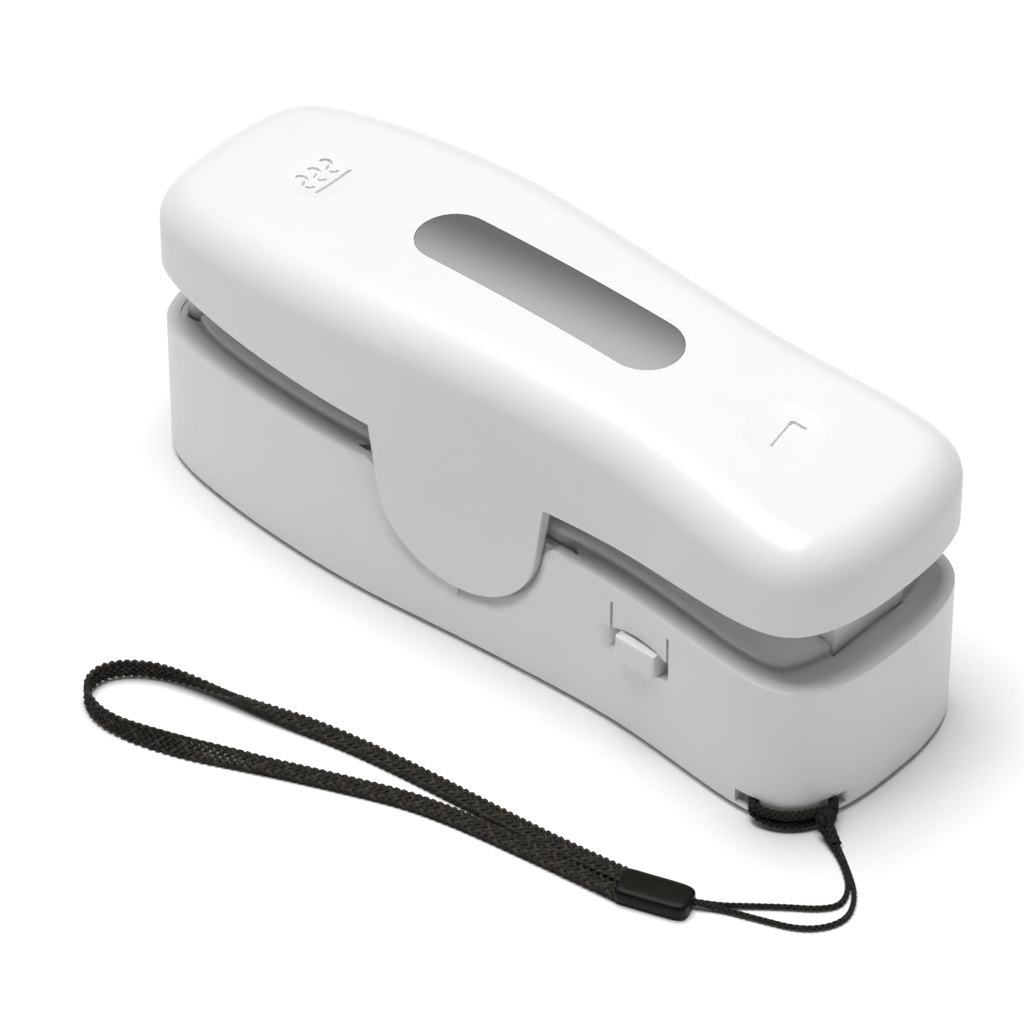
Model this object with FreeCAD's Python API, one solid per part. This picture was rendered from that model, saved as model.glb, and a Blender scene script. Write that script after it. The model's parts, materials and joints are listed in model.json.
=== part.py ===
# Hand-held heat sealer for food bags, with a cutter at the other end: a rocking lever over a waisted
# body. Pressing the -X end closes the heater on the bag, pressing the +X end drives the blade.
# Millimetres. X runs from the seal end to the cutter end, -Y is the side of the push button, Z is up.
# The origin is under the middle of the body, on the surface that it stands on.
import FreeCAD, Part
import math
import os
from FreeCAD import Vector

# ---------------------------------------------------------------- driving dimensions
length = 118.0
width = 38.7
lever_top = 48.4            # highest point of the lever, over the pivot
lever_crown = 4.6           # how far the lever's top falls to each end
lever_edge_radius = 6.4     # soft edge round the lever's top
lever_inner_radius = 2.8    # the same edge inside the lever's cover
lever_wall = 1.8
skirt_z = 29.8              # lower edge of the lever beside the lobe
skirt_rise = 2.7            # how far that edge rises to each end
rim_z = 23.5                # top of the body's wall over the pivot
rim_drop = 1.2              # how far the rim falls to each end
rim_radius = 0.3
body_inset = 0.15           # the body's wall lies this far inside the lever's
body_wall = 1.8
floor_thickness = 1.8
foot_radius = 1.6           # rounding of the body's bottom edge
deck_top = 25.0             # top of the raised deck over the pivot
deck_thickness = 1.8
deck_inset = 3.2            # edge of the raised deck, in from the outer shape at the sides
deck_end_inset = 4.1        # and at the ends
deck_edge_radius = 0.7
deck_wall = 1.5
ledge_below_rim = 0.35      # the deck's low flange lies this far under the rim
gap = 0.3                   # clearance between pieces that move past each other
fit_gap = 0.1               # clearance between pieces that are fixed together

pivot_z = 20.0
pivot_radius = 1.5
pivot_clearance = 0.05
lobe_half = 14.0            # half the width of the lever's side lobe at its root
lobe_bottom = 9.6
lobe_lean = 8.3             # degrees that the lobe's sides lean in
lobe_gap = 0.6              # slot between the lobe and the body's notch
notch_bevel = 2.1           # width of the bevel round the notch
notch_bevel_depth = 0.7
notch_flare = 3.0           # rounding where the notch meets the rim
cheek_thickness = 0.9       # bearing wall behind the lobe
cheek_margin = 2.6          # how far that wall passes the notch
heater_travel = 4.35779     # how far the lever's seal end goes down over the heater

label_length = 42.4
label_width = 10.1
label_thickness = 0.7
icon_x = 39.0               # middle of each sunk icon from the pivot
dimple_radius = 5.2
dimple_depth = 0.35
groove_width = 0.5
groove_depth = 0.45

cell_radius = 7.25          # two AA cells side by side under the seal half
cell_length = 50.5
cell_start = -length / 2 + 9.6      # the cells' end nearest the seal end
cell_spacing = 14.54
cell_lift = 0.3             # cell above the battery door
nub_radius = 2.7
nub_height = 1.2
contact_thickness = 0.4
contact_room = 1.5          # between a cell's end and its contact plate
ring_foot_radius = 4.5
ring_top_radius = 3.0

door_end = cell_start + cell_length + 1.9   # inner end of the battery door
door_half = 14.9
door_travel = 7.0
hook_length = 4.0
hook_reach = 0.7
hook_thickness = 0.8
hook_starts = [-41.0, -21.0, -2.0]

end_inset = 9.0             # of the heater and of the cutter, from the ends
heater_x = -length / 2 + end_inset
swing = math.degrees(math.asin(-heater_travel / heater_x))   # degrees that the lever rocks each way
heater_size = (7.0, 23.0)
heater_top = 27.0
heater_low = 22.3
strip_size = (2.6, 20.0, 0.15)
cover_size = (6.4, 21.6, 0.12)
leg_radius = 0.6
leg_length = 1.5
pad_gap = 0.3               # left between pad and heater when the seal end is down
pad_thickness = 1.05
pad_size = (5.0, 21.0)
pad_sink = 0.4

cutter_x = length / 2 - end_inset
insert_size = (7.0, 13.6)
insert_top = 27.0
blade_thickness = 0.4
blade_width = 9.0
blade_reach = 2.1           # how far the edge stands out of its holder
blade_stroke_depth = 1.4    # how far the closed blade goes under the top of its slot
blade_slot = (2.8, 11.5)
blade_slot_shift = 0.8      # the tilting blade leans towards the cutter end

liner_z = 33.6              # underside of the plate that closes the lever
liner_thickness = 1.4
lever_posts = [(-40.0, 10.5), (-40.0, -10.5), (40.0, 10.0), (40.0, -10.0)]
deck_posts = [(-40.0, 11.0), (-40.0, -11.0), (cutter_x - 6.8, 9.0), (cutter_x - 6.8, -9.0)]
post_radius = 2.2
screw_radius = 0.9
screw_head_radius = 1.8
screw_head_height = 1.2

switch_x = -22.0
switch_size = (12.8, 5.8, 5.6)
plunger_radius = 1.3
plunger_height = 2.0        # stands this far over the deck
plunger_travel = 0.6

spring_x = 32.0
spring_radius = 3.0
spring_wire = 0.6
spring_turns = 5.0
spring_boss_radius = 2.2
spring_boss_height = 1.2

button_x = 30.1
button_size = (6.5, 3.7)
button_z = 15.15            # middle of the push button
button_proud = 1.3
button_travel = 1.0
window_half = 5.15
window_low = 13.2
window_high = 17.6
window_arch = 1.1
slit_width = 0.45
slit_top = 20.8

button_flange = (9.6, 6.2, 1.0)
button_stem = 3.0
button_switch_size = (6.0, 3.7, 8.0)
button_switch_face = -10.0  # the side of the small switch that the push button faces
button_switch_pin = 0.6

board_size = (30.0, 20.0, 1.2)
board_x = 24.0
board_z = 8.0
board_inset = 2.2           # the board's screws, in from its corners
board_post_radius = 1.6
wire_radius = 0.6
wire_y = 4.6
wire_z = 17.45
wire_bend = 2.5

slot_low = 1.5              # lanyard tunnel round the corner at the cutter end
slot_high = 3.6
slot_deep = 2.9
slot_skin = 1.35            # what is left of the wall in front of the tunnel
slot_side_x = (length / 2 - 11.6, length / 2 - 7.8)
slot_end_y = (-12.6, -8.8)

string_diameter = 0.9
strap_diameter = 2.8
ferrule_size = (11.0, 6.2, 2.8)
ferrule_middle = (50.5, -37.3)
ferrule_turn = 15.7         # degrees from the X axis
mouth_cord_heights = (2.12, 3.06)    # of the string's two turns where they enter the tunnel
outer_cord_heights = (1.3, 2.8)      # and where they pass round the corner

# The outer shape seen from above, from the seal end to the cutter end on one side: the poles of a
# smooth closed curve, as shares of half the length and of half the width. The waist lies beyond
# the pivot, towards the cutter end.
OUTLINE_POLES = [
    (-1.0, 0.0), (-0.99, 0.40), (-0.954, 0.81), (-0.714, 0.946), (-0.471, 1.003), (-0.251, 0.997),
    (-0.058, 0.93), (0.236, 0.863), (0.469, 0.837), (0.72, 0.935), (0.944, 0.956), (1.0, 0.367),
    (0.998, 0.0),
]
INSET_POINTS = 56           # places where the curve is measured to move it inwards

skirt_bend = 0.36            # share of the skirt's rise that is reached half way along it
skirt_bend_radius = 400.0
notch_open = 12.0           # the notch's tool goes this far over the rim
bevel_reach = 2.0           # and the bevel's tool this far outside the wall
drive_wide = 0.5            # cross slot of a screw
drive_long = 2.4
drive_deep = 0.6
lever_screw_length = 6.5
deck_screw_length = 6.0
deck_screw_lift = 0.05
pad_edge_radius = 0.3
blade_holder_size = (6.0, 13.0)
blade_rise = 1.2            # of the edge from one end to the other, so that it cuts like a guillotine
insert_edge_radius = 0.6
insert_slot_depth = 4.0
wall_web = 1.0              # half thickness of the webs from the deck's posts to the wall
cell_wall_back = 1.0        # cross walls behind the contact plates
cell_wall_front = 1.2
cell_wall_rise = 6.6        # over the middle of the cells
guide_wall = 0.9
guide_spare = 0.8
guide_over = 1.0
window_deep = 4.0           # the window's and the slits' tools go this far into the body
contact_half_high = 5.5
contact_half_wide = 5.0
contact_play = 0.05
cell_edge_radius = 0.6
leg_inset = 1.5
switch_under = 0.25
grip_grooves = (-10.0, 2.4, 4)      # first one's X, step and number of grooves in the door
grip_groove = (1.0, 6.0, 0.4)       # width, half length and depth
transistor = (14.0, 0.0, 6.5, 6.0, 2.3)     # X, Y and the three sizes
chip = (23.0, 2.0, 5.0, 4.0, 1.5)
capacitor = (35.5, 2.6, 2.0, 5.0)           # X, distance from the middle, radius and height
button_pin_radius = 1.6
wire_inset = 2.0
knot_size = (1.15, 1.5, 1.5)
knot_middle = (59.1, -13.5, 2.1)
ferrule_low = 0.05
ferrule_corner = 1.6

FAR = 90.0                  # beyond every piece


# ---------------------------------------------------------------- plain shapes
def outer_curve():
    """Closed smooth curve on OUTLINE_POLES and their mirror image, stretched to length and width."""
    side = [Vector(along, -across) for along, across in OUTLINE_POLES]
    poles = side + [Vector(p.x, -p.y) for p in reversed(side[1:-1])]
    curve = Part.BSplineCurve()
    curve.buildFromPoles(poles, True, 3)
    box = curve.toShape().BoundBox
    stretched = []
    for pole in poles:
        along = (pole.x - box.Center.x) / box.XLength
        stretched.append(Vector(along * length, pole.y / box.YLength * width))
    curve = Part.BSplineCurve()
    curve.buildFromPoles(stretched, True, 3)
    return curve


OUTER = outer_curve()


def outline_curve(inset):
    """The outer curve, moved in by inset along its own normals."""
    if inset == 0:
        return OUTER
    first, last = OUTER.FirstParameter, OUTER.LastParameter
    moved = []
    for i in range(INSET_POINTS):
        at = first + (last - first) * i / INSET_POINTS
        tangent = OUTER.tangent(at)[0]
        moved.append(OUTER.value(at) + Vector(-tangent.y, tangent.x) * inset)
    inner = Part.BSplineCurve()
    inner.interpolate(Points=moved, PeriodicFlag=True)
    return inner


def outline_prism(inset, low=-FAR, high=FAR, shorten=1.0):
    """Upright prism on the moved-in outline, its length along X times shorten."""
    curve = outline_curve(inset)
    if shorten != 1.0:
        curve = curve.copy()
        for number, pole in enumerate(curve.getPoles(), 1):
            curve.setPole(number, Vector(pole.x * shorten, pole.y))
    wire = Part.Wire(curve.toShape())
    face = Part.Face(wire)
    face.translate(Vector(0, 0, low))
    return face.extrude(Vector(0, 0, high - low))


def half_width(x, inset=0.0):
    """Half the outer width at x, less the inset."""
    curve = outline_curve(inset).toShape()
    line = Part.makeLine(Vector(x, 0.01, 0), Vector(x, FAR, 0))
    return curve.distToShape(line)[1][0][0].y


def block(x_range, y_range, z_range):
    corner = Vector(x_range[0], y_range[0], z_range[0])
    return Part.makeBox(x_range[1] - x_range[0], y_range[1] - y_range[0], z_range[1] - z_range[0], corner)


def centred_block(x, y, size_x, size_y, low, high):
    return block((x - size_x / 2, x + size_x / 2), (y - size_y / 2, y + size_y / 2), (low, high))


def rod(x, y, radius, low, high):
    return Part.makeCylinder(radius, high - low, Vector(x, y, low))


def rounded_path(points, radii):
    """Edges of a path through points, with an arc of the given radius at each inner point."""
    edges = []
    start = points[0]
    for i in range(1, len(points) - 1):
        back = (points[i - 1] - points[i]).normalize()
        on = (points[i + 1] - points[i]).normalize()
        half_turn = (math.pi - back.getAngle(on)) / 2
        if radii[i - 1] == 0:
            edges.append(Part.LineSegment(start, points[i]).toShape())
            start = points[i]
            continue
        tangent_length = radii[i - 1] * math.tan(half_turn)
        first = points[i] + back * tangent_length
        last = points[i] + on * tangent_length
        middle_way = (back + on).normalize()
        centre = points[i] + middle_way * (radii[i - 1] / math.cos(half_turn))
        middle = centre - middle_way * radii[i - 1]
        if (first - start).Length > 1e-6:
            edges.append(Part.LineSegment(start, first).toShape())
        edges.append(Part.Arc(first, middle, last).toShape())
        start = last
    if (points[-1] - start).Length > 1e-6:
        edges.append(Part.LineSegment(start, points[-1]).toShape())
    return edges


def side_profile(points, radii, y_low=-FAR, y_high=FAR):
    """Solid across Y under a path in the XZ plane that is closed far below."""
    upright = [Vector(x, 0, z) for x, z in points]
    edges = rounded_path(upright, radii)
    low_left = Vector(upright[0].x, 0, -FAR)
    low_right = Vector(upright[-1].x, 0, -FAR)
    edges.append(Part.LineSegment(upright[-1], low_right).toShape())
    edges.append(Part.LineSegment(low_right, low_left).toShape())
    edges.append(Part.LineSegment(low_left, upright[0]).toShape())
    face = Part.Face(Part.Wire(Part.__sortEdges__(edges)))
    face.translate(Vector(0, y_low, 0))
    return face.extrude(Vector(0, y_high - y_low, 0))


def under_arc(middle_z, drop):
    """Everything below an arc that falls by drop from the middle to each end of the body."""
    radius = ((length / 2) ** 2 + drop**2) / (2 * drop)
    sag = radius - math.sqrt(radius**2 - FAR**2)
    arc_start = Vector(-FAR, -FAR, middle_z - sag)
    arc_end = Vector(FAR, -FAR, middle_z - sag)
    left = Vector(-FAR, -FAR, -FAR)
    right = Vector(FAR, -FAR, -FAR)
    edges = [
        Part.Arc(arc_start, Vector(0, -FAR, middle_z), arc_end).toShape(),
        Part.LineSegment(arc_end, right).toShape(),
        Part.LineSegment(right, left).toShape(),
        Part.LineSegment(left, arc_start).toShape(),
    ]
    return Part.Face(Part.Wire(edges)).extrude(Vector(0, 2 * FAR, 0))


def arc_z(middle_z, drop, x):
    """Height at x of the arc that under_arc makes."""
    radius = ((length / 2) ** 2 + drop**2) / (2 * drop)
    return middle_z - radius + math.sqrt(radius**2 - x**2)


def deck_z(x):
    return arc_z(deck_top, rim_drop, x)


def level_edges(shape, low, high):
    """Edges that lie wholly between two heights."""
    return [e for e in shape.Edges if e.BoundBox.ZMin > low and e.BoundBox.ZMax < high]


def tube_along(edges, radius):
    wire = Part.Wire(edges)
    start = edges[0]
    direction = start.tangentAt(start.FirstParameter)
    circle = Part.Wire(Part.Circle(start.valueAt(start.FirstParameter), direction, radius).toShape())
    return wire.makePipeShell([circle], True, False)


# ---------------------------------------------------------------- side lobe and its notch
def lobe_points(grow):
    """The lobe's outline below the skirt, grown outwards by grow: left root, two low corners, right root."""
    lean = math.tan(math.radians(lobe_lean))
    side = grow / math.cos(math.radians(lobe_lean))
    low = lobe_bottom - grow
    root = lobe_half + side
    foot = root - (skirt_z - low) * lean
    return [(-root, skirt_z), (-foot, low), (foot, low), (root, skirt_z)]


def lobe_corner_radius(grow):
    """Radius that makes the foot of the lobe one round, with a flat a little wide in the middle."""
    foot = lobe_points(grow)[2][0]
    turn = math.radians(90 - lobe_lean)
    return 0.985 * foot / math.tan(turn / 2)


def lever_profile():
    """Solid across Y of all that lies under the lever: below the rising skirt edge, beside the lobes."""
    end = length / 2 + lever_wall
    rise_end = skirt_z + skirt_rise
    roots = lobe_points(0)
    middle_x = (end + lobe_half) / 2
    middle_z = skirt_z + skirt_rise * skirt_bend
    radius = lobe_corner_radius(0)
    points = [(-end, rise_end), (-middle_x, middle_z)] + roots + [(middle_x, middle_z), (end, rise_end)]
    return side_profile(points, [skirt_bend_radius, 0, radius, radius, 0, skirt_bend_radius])


def notch_wire(grow, flare):
    """Outline of the U notch in the XZ plane, open far above the rim, its mouth flared at the rim."""
    low_left, low_right = [Vector(x, 0, z) for x, z in lobe_points(grow)[1:3]]
    lean = math.tan(math.radians(lobe_lean))
    mouth = lobe_points(grow)[3][0] - (skirt_z - rim_z) * lean
    radius = lobe_corner_radius(grow)
    wide = mouth + 3 * flare
    high = rim_z + notch_open
    points = [
        Vector(-wide, 0, high), Vector(-wide, 0, rim_z), Vector(-mouth, 0, rim_z), low_left, low_right,
        Vector(mouth, 0, rim_z), Vector(wide, 0, rim_z), Vector(wide, 0, high),
    ]
    edges = rounded_path(points, [0, flare, radius, radius, flare, 0])
    edges.append(Part.LineSegment(points[-1], points[0]).toShape())
    return Part.Wire(Part.__sortEdges__(edges))


def notch_tool(grow, flare):
    face = Part.Face(notch_wire(grow, flare))
    face.translate(Vector(0, -FAR, 0))
    return face.extrude(Vector(0, 2 * FAR, 0))


def notch_bevels():
    """Tools that bevel the notch's edge on both sides, laid along the wall's own slant."""
    wide_half = half_width(-lobe_half, body_inset)
    narrow_half = half_width(lobe_half, body_inset)
    slant = math.degrees(math.atan2(wide_half - narrow_half, 2 * lobe_half))
    middle_half = (wide_half + narrow_half) / 2
    growth = notch_bevel * bevel_reach / notch_bevel_depth
    tools = []
    for side in (-1, 1):
        inner = notch_wire(lobe_gap, notch_flare)
        outer = notch_wire(lobe_gap + notch_bevel + growth, notch_flare + notch_bevel + growth)
        inner.translate(Vector(0, side * (middle_half - notch_bevel_depth), 0))
        outer.translate(Vector(0, side * (middle_half + bevel_reach), 0))
        tool = Part.makeLoft([inner, outer], True, True)
        tool.rotate(Vector(0, side * middle_half, 0), Vector(0, 0, 1), -side * slant)
        tools.append(tool)
    return tools


# ---------------------------------------------------------------- lever
def rounded_lever_solid(inset, top, edge_radius):
    solid = outline_prism(inset, 5.0).common(under_arc(top, lever_crown))
    rim = level_edges(solid, top - lever_crown - 1.0, top + 1.0)
    return solid.makeFillet(edge_radius, rim)


def stadium(long_size, wide_size, low, high):
    radius = wide_size / 2
    reach = long_size / 2 - radius
    body = centred_block(0, 0, 2 * reach, wide_size, low, high)
    return body.fuse([rod(-reach, 0, radius, low, high), rod(reach, 0, radius, low, high)]).removeSplitter()


def groove_line(start, end, low, high):
    """Straight groove with round ends between two points on the lever's top."""
    run = Vector(end[0] - start[0], end[1] - start[1])
    cut = Part.makeBox(run.Length, groove_width, high - low, Vector(0, -groove_width / 2, low))
    cut.rotate(Vector(), Vector(0, 0, 1), math.degrees(math.atan2(run.y, run.x)))
    cut.translate(Vector(start[0], start[1]))
    ends = [rod(x, y, groove_width / 2, low, high) for x, y in (start, end)]
    return cut.fuse(ends)


def groove_half_ring(x, y, radius, side, low, high):
    """Half of a ring groove round (x, y), on the +Y side if side is 1, on the -Y side if it is -1."""
    outer = rod(x, y, radius + groove_width / 2, low, high)
    ring = outer.cut(rod(x, y, radius - groove_width / 2, low, high))
    y_range = (y, y + 3 * radius) if side > 0 else (y - 3 * radius, y)
    return ring.common(block((x - 3 * radius, x + 3 * radius), y_range, (low, high)))


def heat_icon(low, high):
    """A bar across the lever and three waves that rise from it towards the seal end."""
    bar_x = -icon_x + 1.8
    cuts = [groove_line((bar_x, -3.2), (bar_x, 3.0), low, high)]
    wave_radius = 0.85
    for y in (-2.3, 0.0, 2.3):
        for turn, side in ((0, -1), (1, 1)):
            x = bar_x - 1.3 - wave_radius - turn * 2 * wave_radius
            cuts.append(groove_half_ring(x, y, wave_radius, side, low, high))
    return cuts


def blade_icon(low, high):
    """The long edge of a blade and its short back."""
    heel = (icon_x - 0.6, 2.3)
    return [
        groove_line(heel, (heel[0] + 1.1, heel[1] - 5.4), low, high),
        groove_line(heel, (heel[0] + 2.2, heel[1] + 0.1), low, high),
    ]


def lever_cover():
    outer = rounded_lever_solid(0, lever_top, lever_edge_radius)
    inner = rounded_lever_solid(lever_wall, lever_top - lever_wall, lever_inner_radius)
    shell = outer.cut(inner.fuse(outline_prism(lever_wall, 0, liner_z)))
    shell = shell.cut(lever_profile())
    for x, y in lever_posts:
        post = rod(x, y, post_radius, liner_z + liner_thickness + fit_gap, lever_top)
        shell = shell.fuse(post.common(outer))
    pin_depth = lever_wall - 0.8
    for side in (-1, 1):
        reach = half_width(0, lever_wall)
        hole = Part.makeCylinder(
            pivot_radius + pivot_clearance, 5.0 + pin_depth, Vector(0, side * (reach - 5.0), pivot_z),
            Vector(0, side, 0))
        shell = shell.cut(hole)
    recess = stadium(label_length + 2 * fit_gap, label_width + 2 * fit_gap, lever_top - 5.0, lever_top + 1.0)
    shell = shell.cut(recess.cut(under_arc(lever_top - label_thickness - fit_gap, lever_crown)))
    for x in (-icon_x, icon_x):
        surface = arc_z(lever_top, lever_crown, x)
        ball = (dimple_radius**2 + dimple_depth**2) / (2 * dimple_depth)
        slope = math.asin(x / (((length / 2) ** 2 + lever_crown**2) / (2 * lever_crown)))
        lift = Vector(math.sin(slope), 0, math.cos(slope)) * (ball - dimple_depth)
        shell = shell.cut(Part.makeSphere(ball, Vector(x, 0, surface) + lift))
    icons = heat_icon(30.0, lever_top + 1.0) + blade_icon(30.0, lever_top + 1.0)
    floor_of_grooves = under_arc(lever_top - dimple_depth - groove_depth, lever_crown)
    for groove in icons:
        shell = shell.cut(groove.cut(floor_of_grooves))
    for x, y in lever_posts:
        shell = shell.cut(rod(x, y, screw_radius, 0, liner_z + 7.0))
    return shell


def lever_liner():
    """Plate that closes the lever's underside, with the spring bosses and the switch's pusher."""
    plate = outline_prism(lever_wall + fit_gap, liner_z, liner_z + liner_thickness)
    for x in (-spring_x, spring_x):
        plate = plate.fuse(rod(x, 0, spring_boss_radius, liner_z - spring_boss_height, liner_z))
    drop = abs(switch_x) * math.sin(math.radians(swing))
    pusher_low = deck_z(switch_x) + plunger_height + drop + pad_gap
    plate = plate.fuse(rod(switch_x, 0, plunger_radius, pusher_low, liner_z))
    for x, y in lever_posts:
        plate = plate.cut(rod(x, y, screw_radius + fit_gap, 0, FAR))
    return plate


def label_plate():
    slab = stadium(label_length, label_width, lever_top - 5.0, lever_top + 1.0)
    return slab.common(under_arc(lever_top - 0.05, lever_crown)).cut(
        under_arc(lever_top - label_thickness, lever_crown))


def screw(x, y, head_low, tip, up=True):
    """Pan-head screw: its head's flat side at head_low, its shank to the tip."""
    if up:
        head = rod(x, y, screw_head_radius, head_low - screw_head_height, head_low)
        shank = rod(x, y, screw_radius - 0.02, head_low, tip)
        slot_ends = (head_low - screw_head_height, head_low - drive_deep)
    else:
        head = rod(x, y, screw_head_radius, head_low, head_low + screw_head_height)
        shank = rod(x, y, screw_radius - 0.02, tip, head_low)
        slot_ends = (head_low + drive_deep, head_low + screw_head_height)
    drive = centred_block(x, y, drive_long, drive_wide, *slot_ends)
    cross = centred_block(x, y, drive_wide, drive_long, *slot_ends)
    return head.fuse(shank).cut(drive).cut(cross)


def lever_screws():
    return [screw(x, y, liner_z, liner_z + lever_screw_length) for x, y in lever_posts]


def pad_bottom():
    """Height of the silicone pad that leaves pad_gap over the heater when the seal end is down."""
    angle = math.radians(swing)
    closed = heater_top + strip_size[2] + cover_size[2] + pad_gap
    far_edge = heater_x - pad_size[0] / 2
    return pivot_z + (closed - pivot_z - far_edge * math.sin(angle)) / math.cos(angle)


def pad_holder():
    low = pad_bottom() + pad_thickness - pad_sink
    holder = centred_block(heater_x, 0, heater_size[0], heater_size[1] - 0.6, low, liner_z)
    return holder.cut(centred_block(
        heater_x, 0, pad_size[0] + fit_gap, pad_size[1] + fit_gap, low, low + pad_sink + fit_gap))


def silicone_pad():
    low = pad_bottom()
    pad = centred_block(heater_x, 0, pad_size[0], pad_size[1], low, low + pad_thickness)
    return pad.makeFillet(pad_edge_radius, level_edges(pad, low - 0.1, low + 0.1))


def blade_tip():
    """Height of the blade's edge at rest that puts it blade_stroke_depth into its slot when pressed."""
    return insert_top - blade_stroke_depth + cutter_x * math.sin(math.radians(swing))


def blade_holder():
    low = blade_tip() + blade_reach
    holder = centred_block(cutter_x, 0, blade_holder_size[0], blade_holder_size[1], low, liner_z)
    return holder.cut(centred_block(
        cutter_x, 0, blade_thickness + fit_gap, blade_width + fit_gap, low - 1.0, liner_z - 0.6))


def cutter_blade():
    """Trapezoid blade across the lever: its edge falls from one side to the other."""
    low = blade_tip()
    top = liner_z - 0.7
    half = blade_width / 2
    points = [Vector(0, -half, low), Vector(0, half, low + blade_rise), Vector(0, half, top),
              Vector(0, -half, top)]
    face = Part.Face(Part.makePolygon(points + [points[0]]))
    face.translate(Vector(cutter_x - blade_thickness / 2, 0, 0))
    return face.extrude(Vector(blade_thickness, 0, 0))


# ---------------------------------------------------------------- body
def body_outer():
    solid = outline_prism(body_inset, 0.0, rim_z + 5.0).common(under_arc(rim_z, rim_drop))
    solid = solid.makeFillet(foot_radius, level_edges(solid, -0.1, 0.1))
    return solid.makeFillet(rim_radius, level_edges(solid, rim_z - rim_drop - 0.5, rim_z + 0.5))


def door_shape(clearance):
    """Battery door: the seal half of the floor, out to the body's end."""
    slab = block((-FAR, door_end + clearance), (-door_half - clearance, door_half + clearance),
                 (-1.0, floor_thickness + clearance))
    return slab


def cheek_ring():
    """Bearing walls behind the lobes."""
    reach = lobe_half + cheek_margin
    outer = outline_prism(body_inset + body_wall - 0.3, lobe_bottom - cheek_margin, rim_z - 1.0)
    inner = outline_prism(lever_wall + gap + cheek_thickness)
    return outer.cut(inner).common(block((-reach, reach), (-FAR, FAR), (0, FAR)))


def corner_block(inset_out, inset_in, low, high):
    ring = outline_prism(inset_out, low, high).cut(outline_prism(inset_in))
    corner_x = slot_side_x[0] - 1.6
    corner_y = slot_end_y[1] + 1.6
    return ring.common(block((corner_x, FAR), (-FAR, corner_y), (low, high)))


def lanyard_tunnel():
    """Tunnel behind the corner's skin and the two mouths that open it to the sides."""
    tunnel = outline_prism(slot_skin, slot_low, slot_high).cut(outline_prism(slot_deep))
    tunnel = tunnel.common(block((slot_side_x[0], FAR), (-FAR, slot_end_y[1]), (0, FAR)))
    open_ring = outline_prism(-2.0, slot_low, slot_high).cut(outline_prism(slot_deep))
    side_mouth = open_ring.common(block(slot_side_x, (-FAR, 0), (0, FAR)))
    end_mouth = open_ring.common(block((slot_side_x[1], FAR), slot_end_y, (0, FAR)))
    return tunnel.fuse([side_mouth, end_mouth])


def button_window():
    """Window with a low arched top, between two slits that free a tongue of the wall above it."""
    low = Vector(button_x - window_half, 0, window_low)
    right = Vector(button_x + window_half, 0, window_low)
    high_right = Vector(button_x + window_half, 0, window_high - window_arch)
    high_left = Vector(button_x - window_half, 0, window_high - window_arch)
    arch = Part.Arc(high_right, Vector(button_x, 0, window_high), high_left).toShape()
    edges = [
        Part.LineSegment(low, right).toShape(), Part.LineSegment(right, high_right).toShape(), arch,
        Part.LineSegment(high_left, low).toShape(),
    ]
    face = Part.Face(Part.Wire(edges))
    face.translate(Vector(0, -FAR, 0))
    window = face.extrude(Vector(0, FAR - half_width(button_x) + window_deep, 0))
    slits = []
    for side in (-1, 1):
        x = button_x + side * (window_half - slit_width / 2)
        slits.append(block(
            (x - slit_width / 2, x + slit_width / 2), (-FAR, window_deep - half_width(button_x)),
            (window_high - window_arch - slit_width, slit_top)))
    return window.fuse(slits)


def cell_z():
    return floor_thickness + cell_lift + cell_radius


def contact_x(seal_end):
    """X of the contact plates' faces towards the cells."""
    return cell_start - contact_room if seal_end else cell_start + cell_length + contact_room


def battery_walls():
    """Cross walls behind the contact plates, over the battery door at the seal end."""
    back = contact_x(True) - contact_thickness - fit_gap
    front = max(contact_x(False) + contact_thickness + fit_gap, door_end + fit_gap)
    high = cell_z() + cell_wall_rise
    return [
        block((back - cell_wall_back, back), (-FAR, FAR), (floor_thickness + gap, high)),
        block((front, front + cell_wall_front), (-FAR, FAR), (floor_thickness - 0.5, high)),
    ]


def wall_face():
    """Y of the innermost part of the body's wall behind the push button's flange."""
    ends = (button_x - button_flange[0] / 2, button_x + button_flange[0] / 2)
    return -min(half_width(x, body_inset + body_wall) for x in ends)


def button_guide():
    """Shelf and two cheeks inside the wall that the push button's flange slides between."""
    reach = button_flange[0] / 2 + gap
    low = button_z - button_flange[1] / 2 - gap
    y_range = (wall_face() - 0.5, wall_face() + gap + button_flange[2] + button_travel + guide_spare)
    ends = (button_x - reach - guide_wall, button_x + reach)
    shelf = block((ends[0], ends[1] + guide_wall), y_range, (low - guide_wall, low))
    cheeks = [block((x, x + guide_wall), y_range, (low - guide_wall, button_z + guide_over)) for x in ends]
    return shelf.fuse(cheeks)


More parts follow.
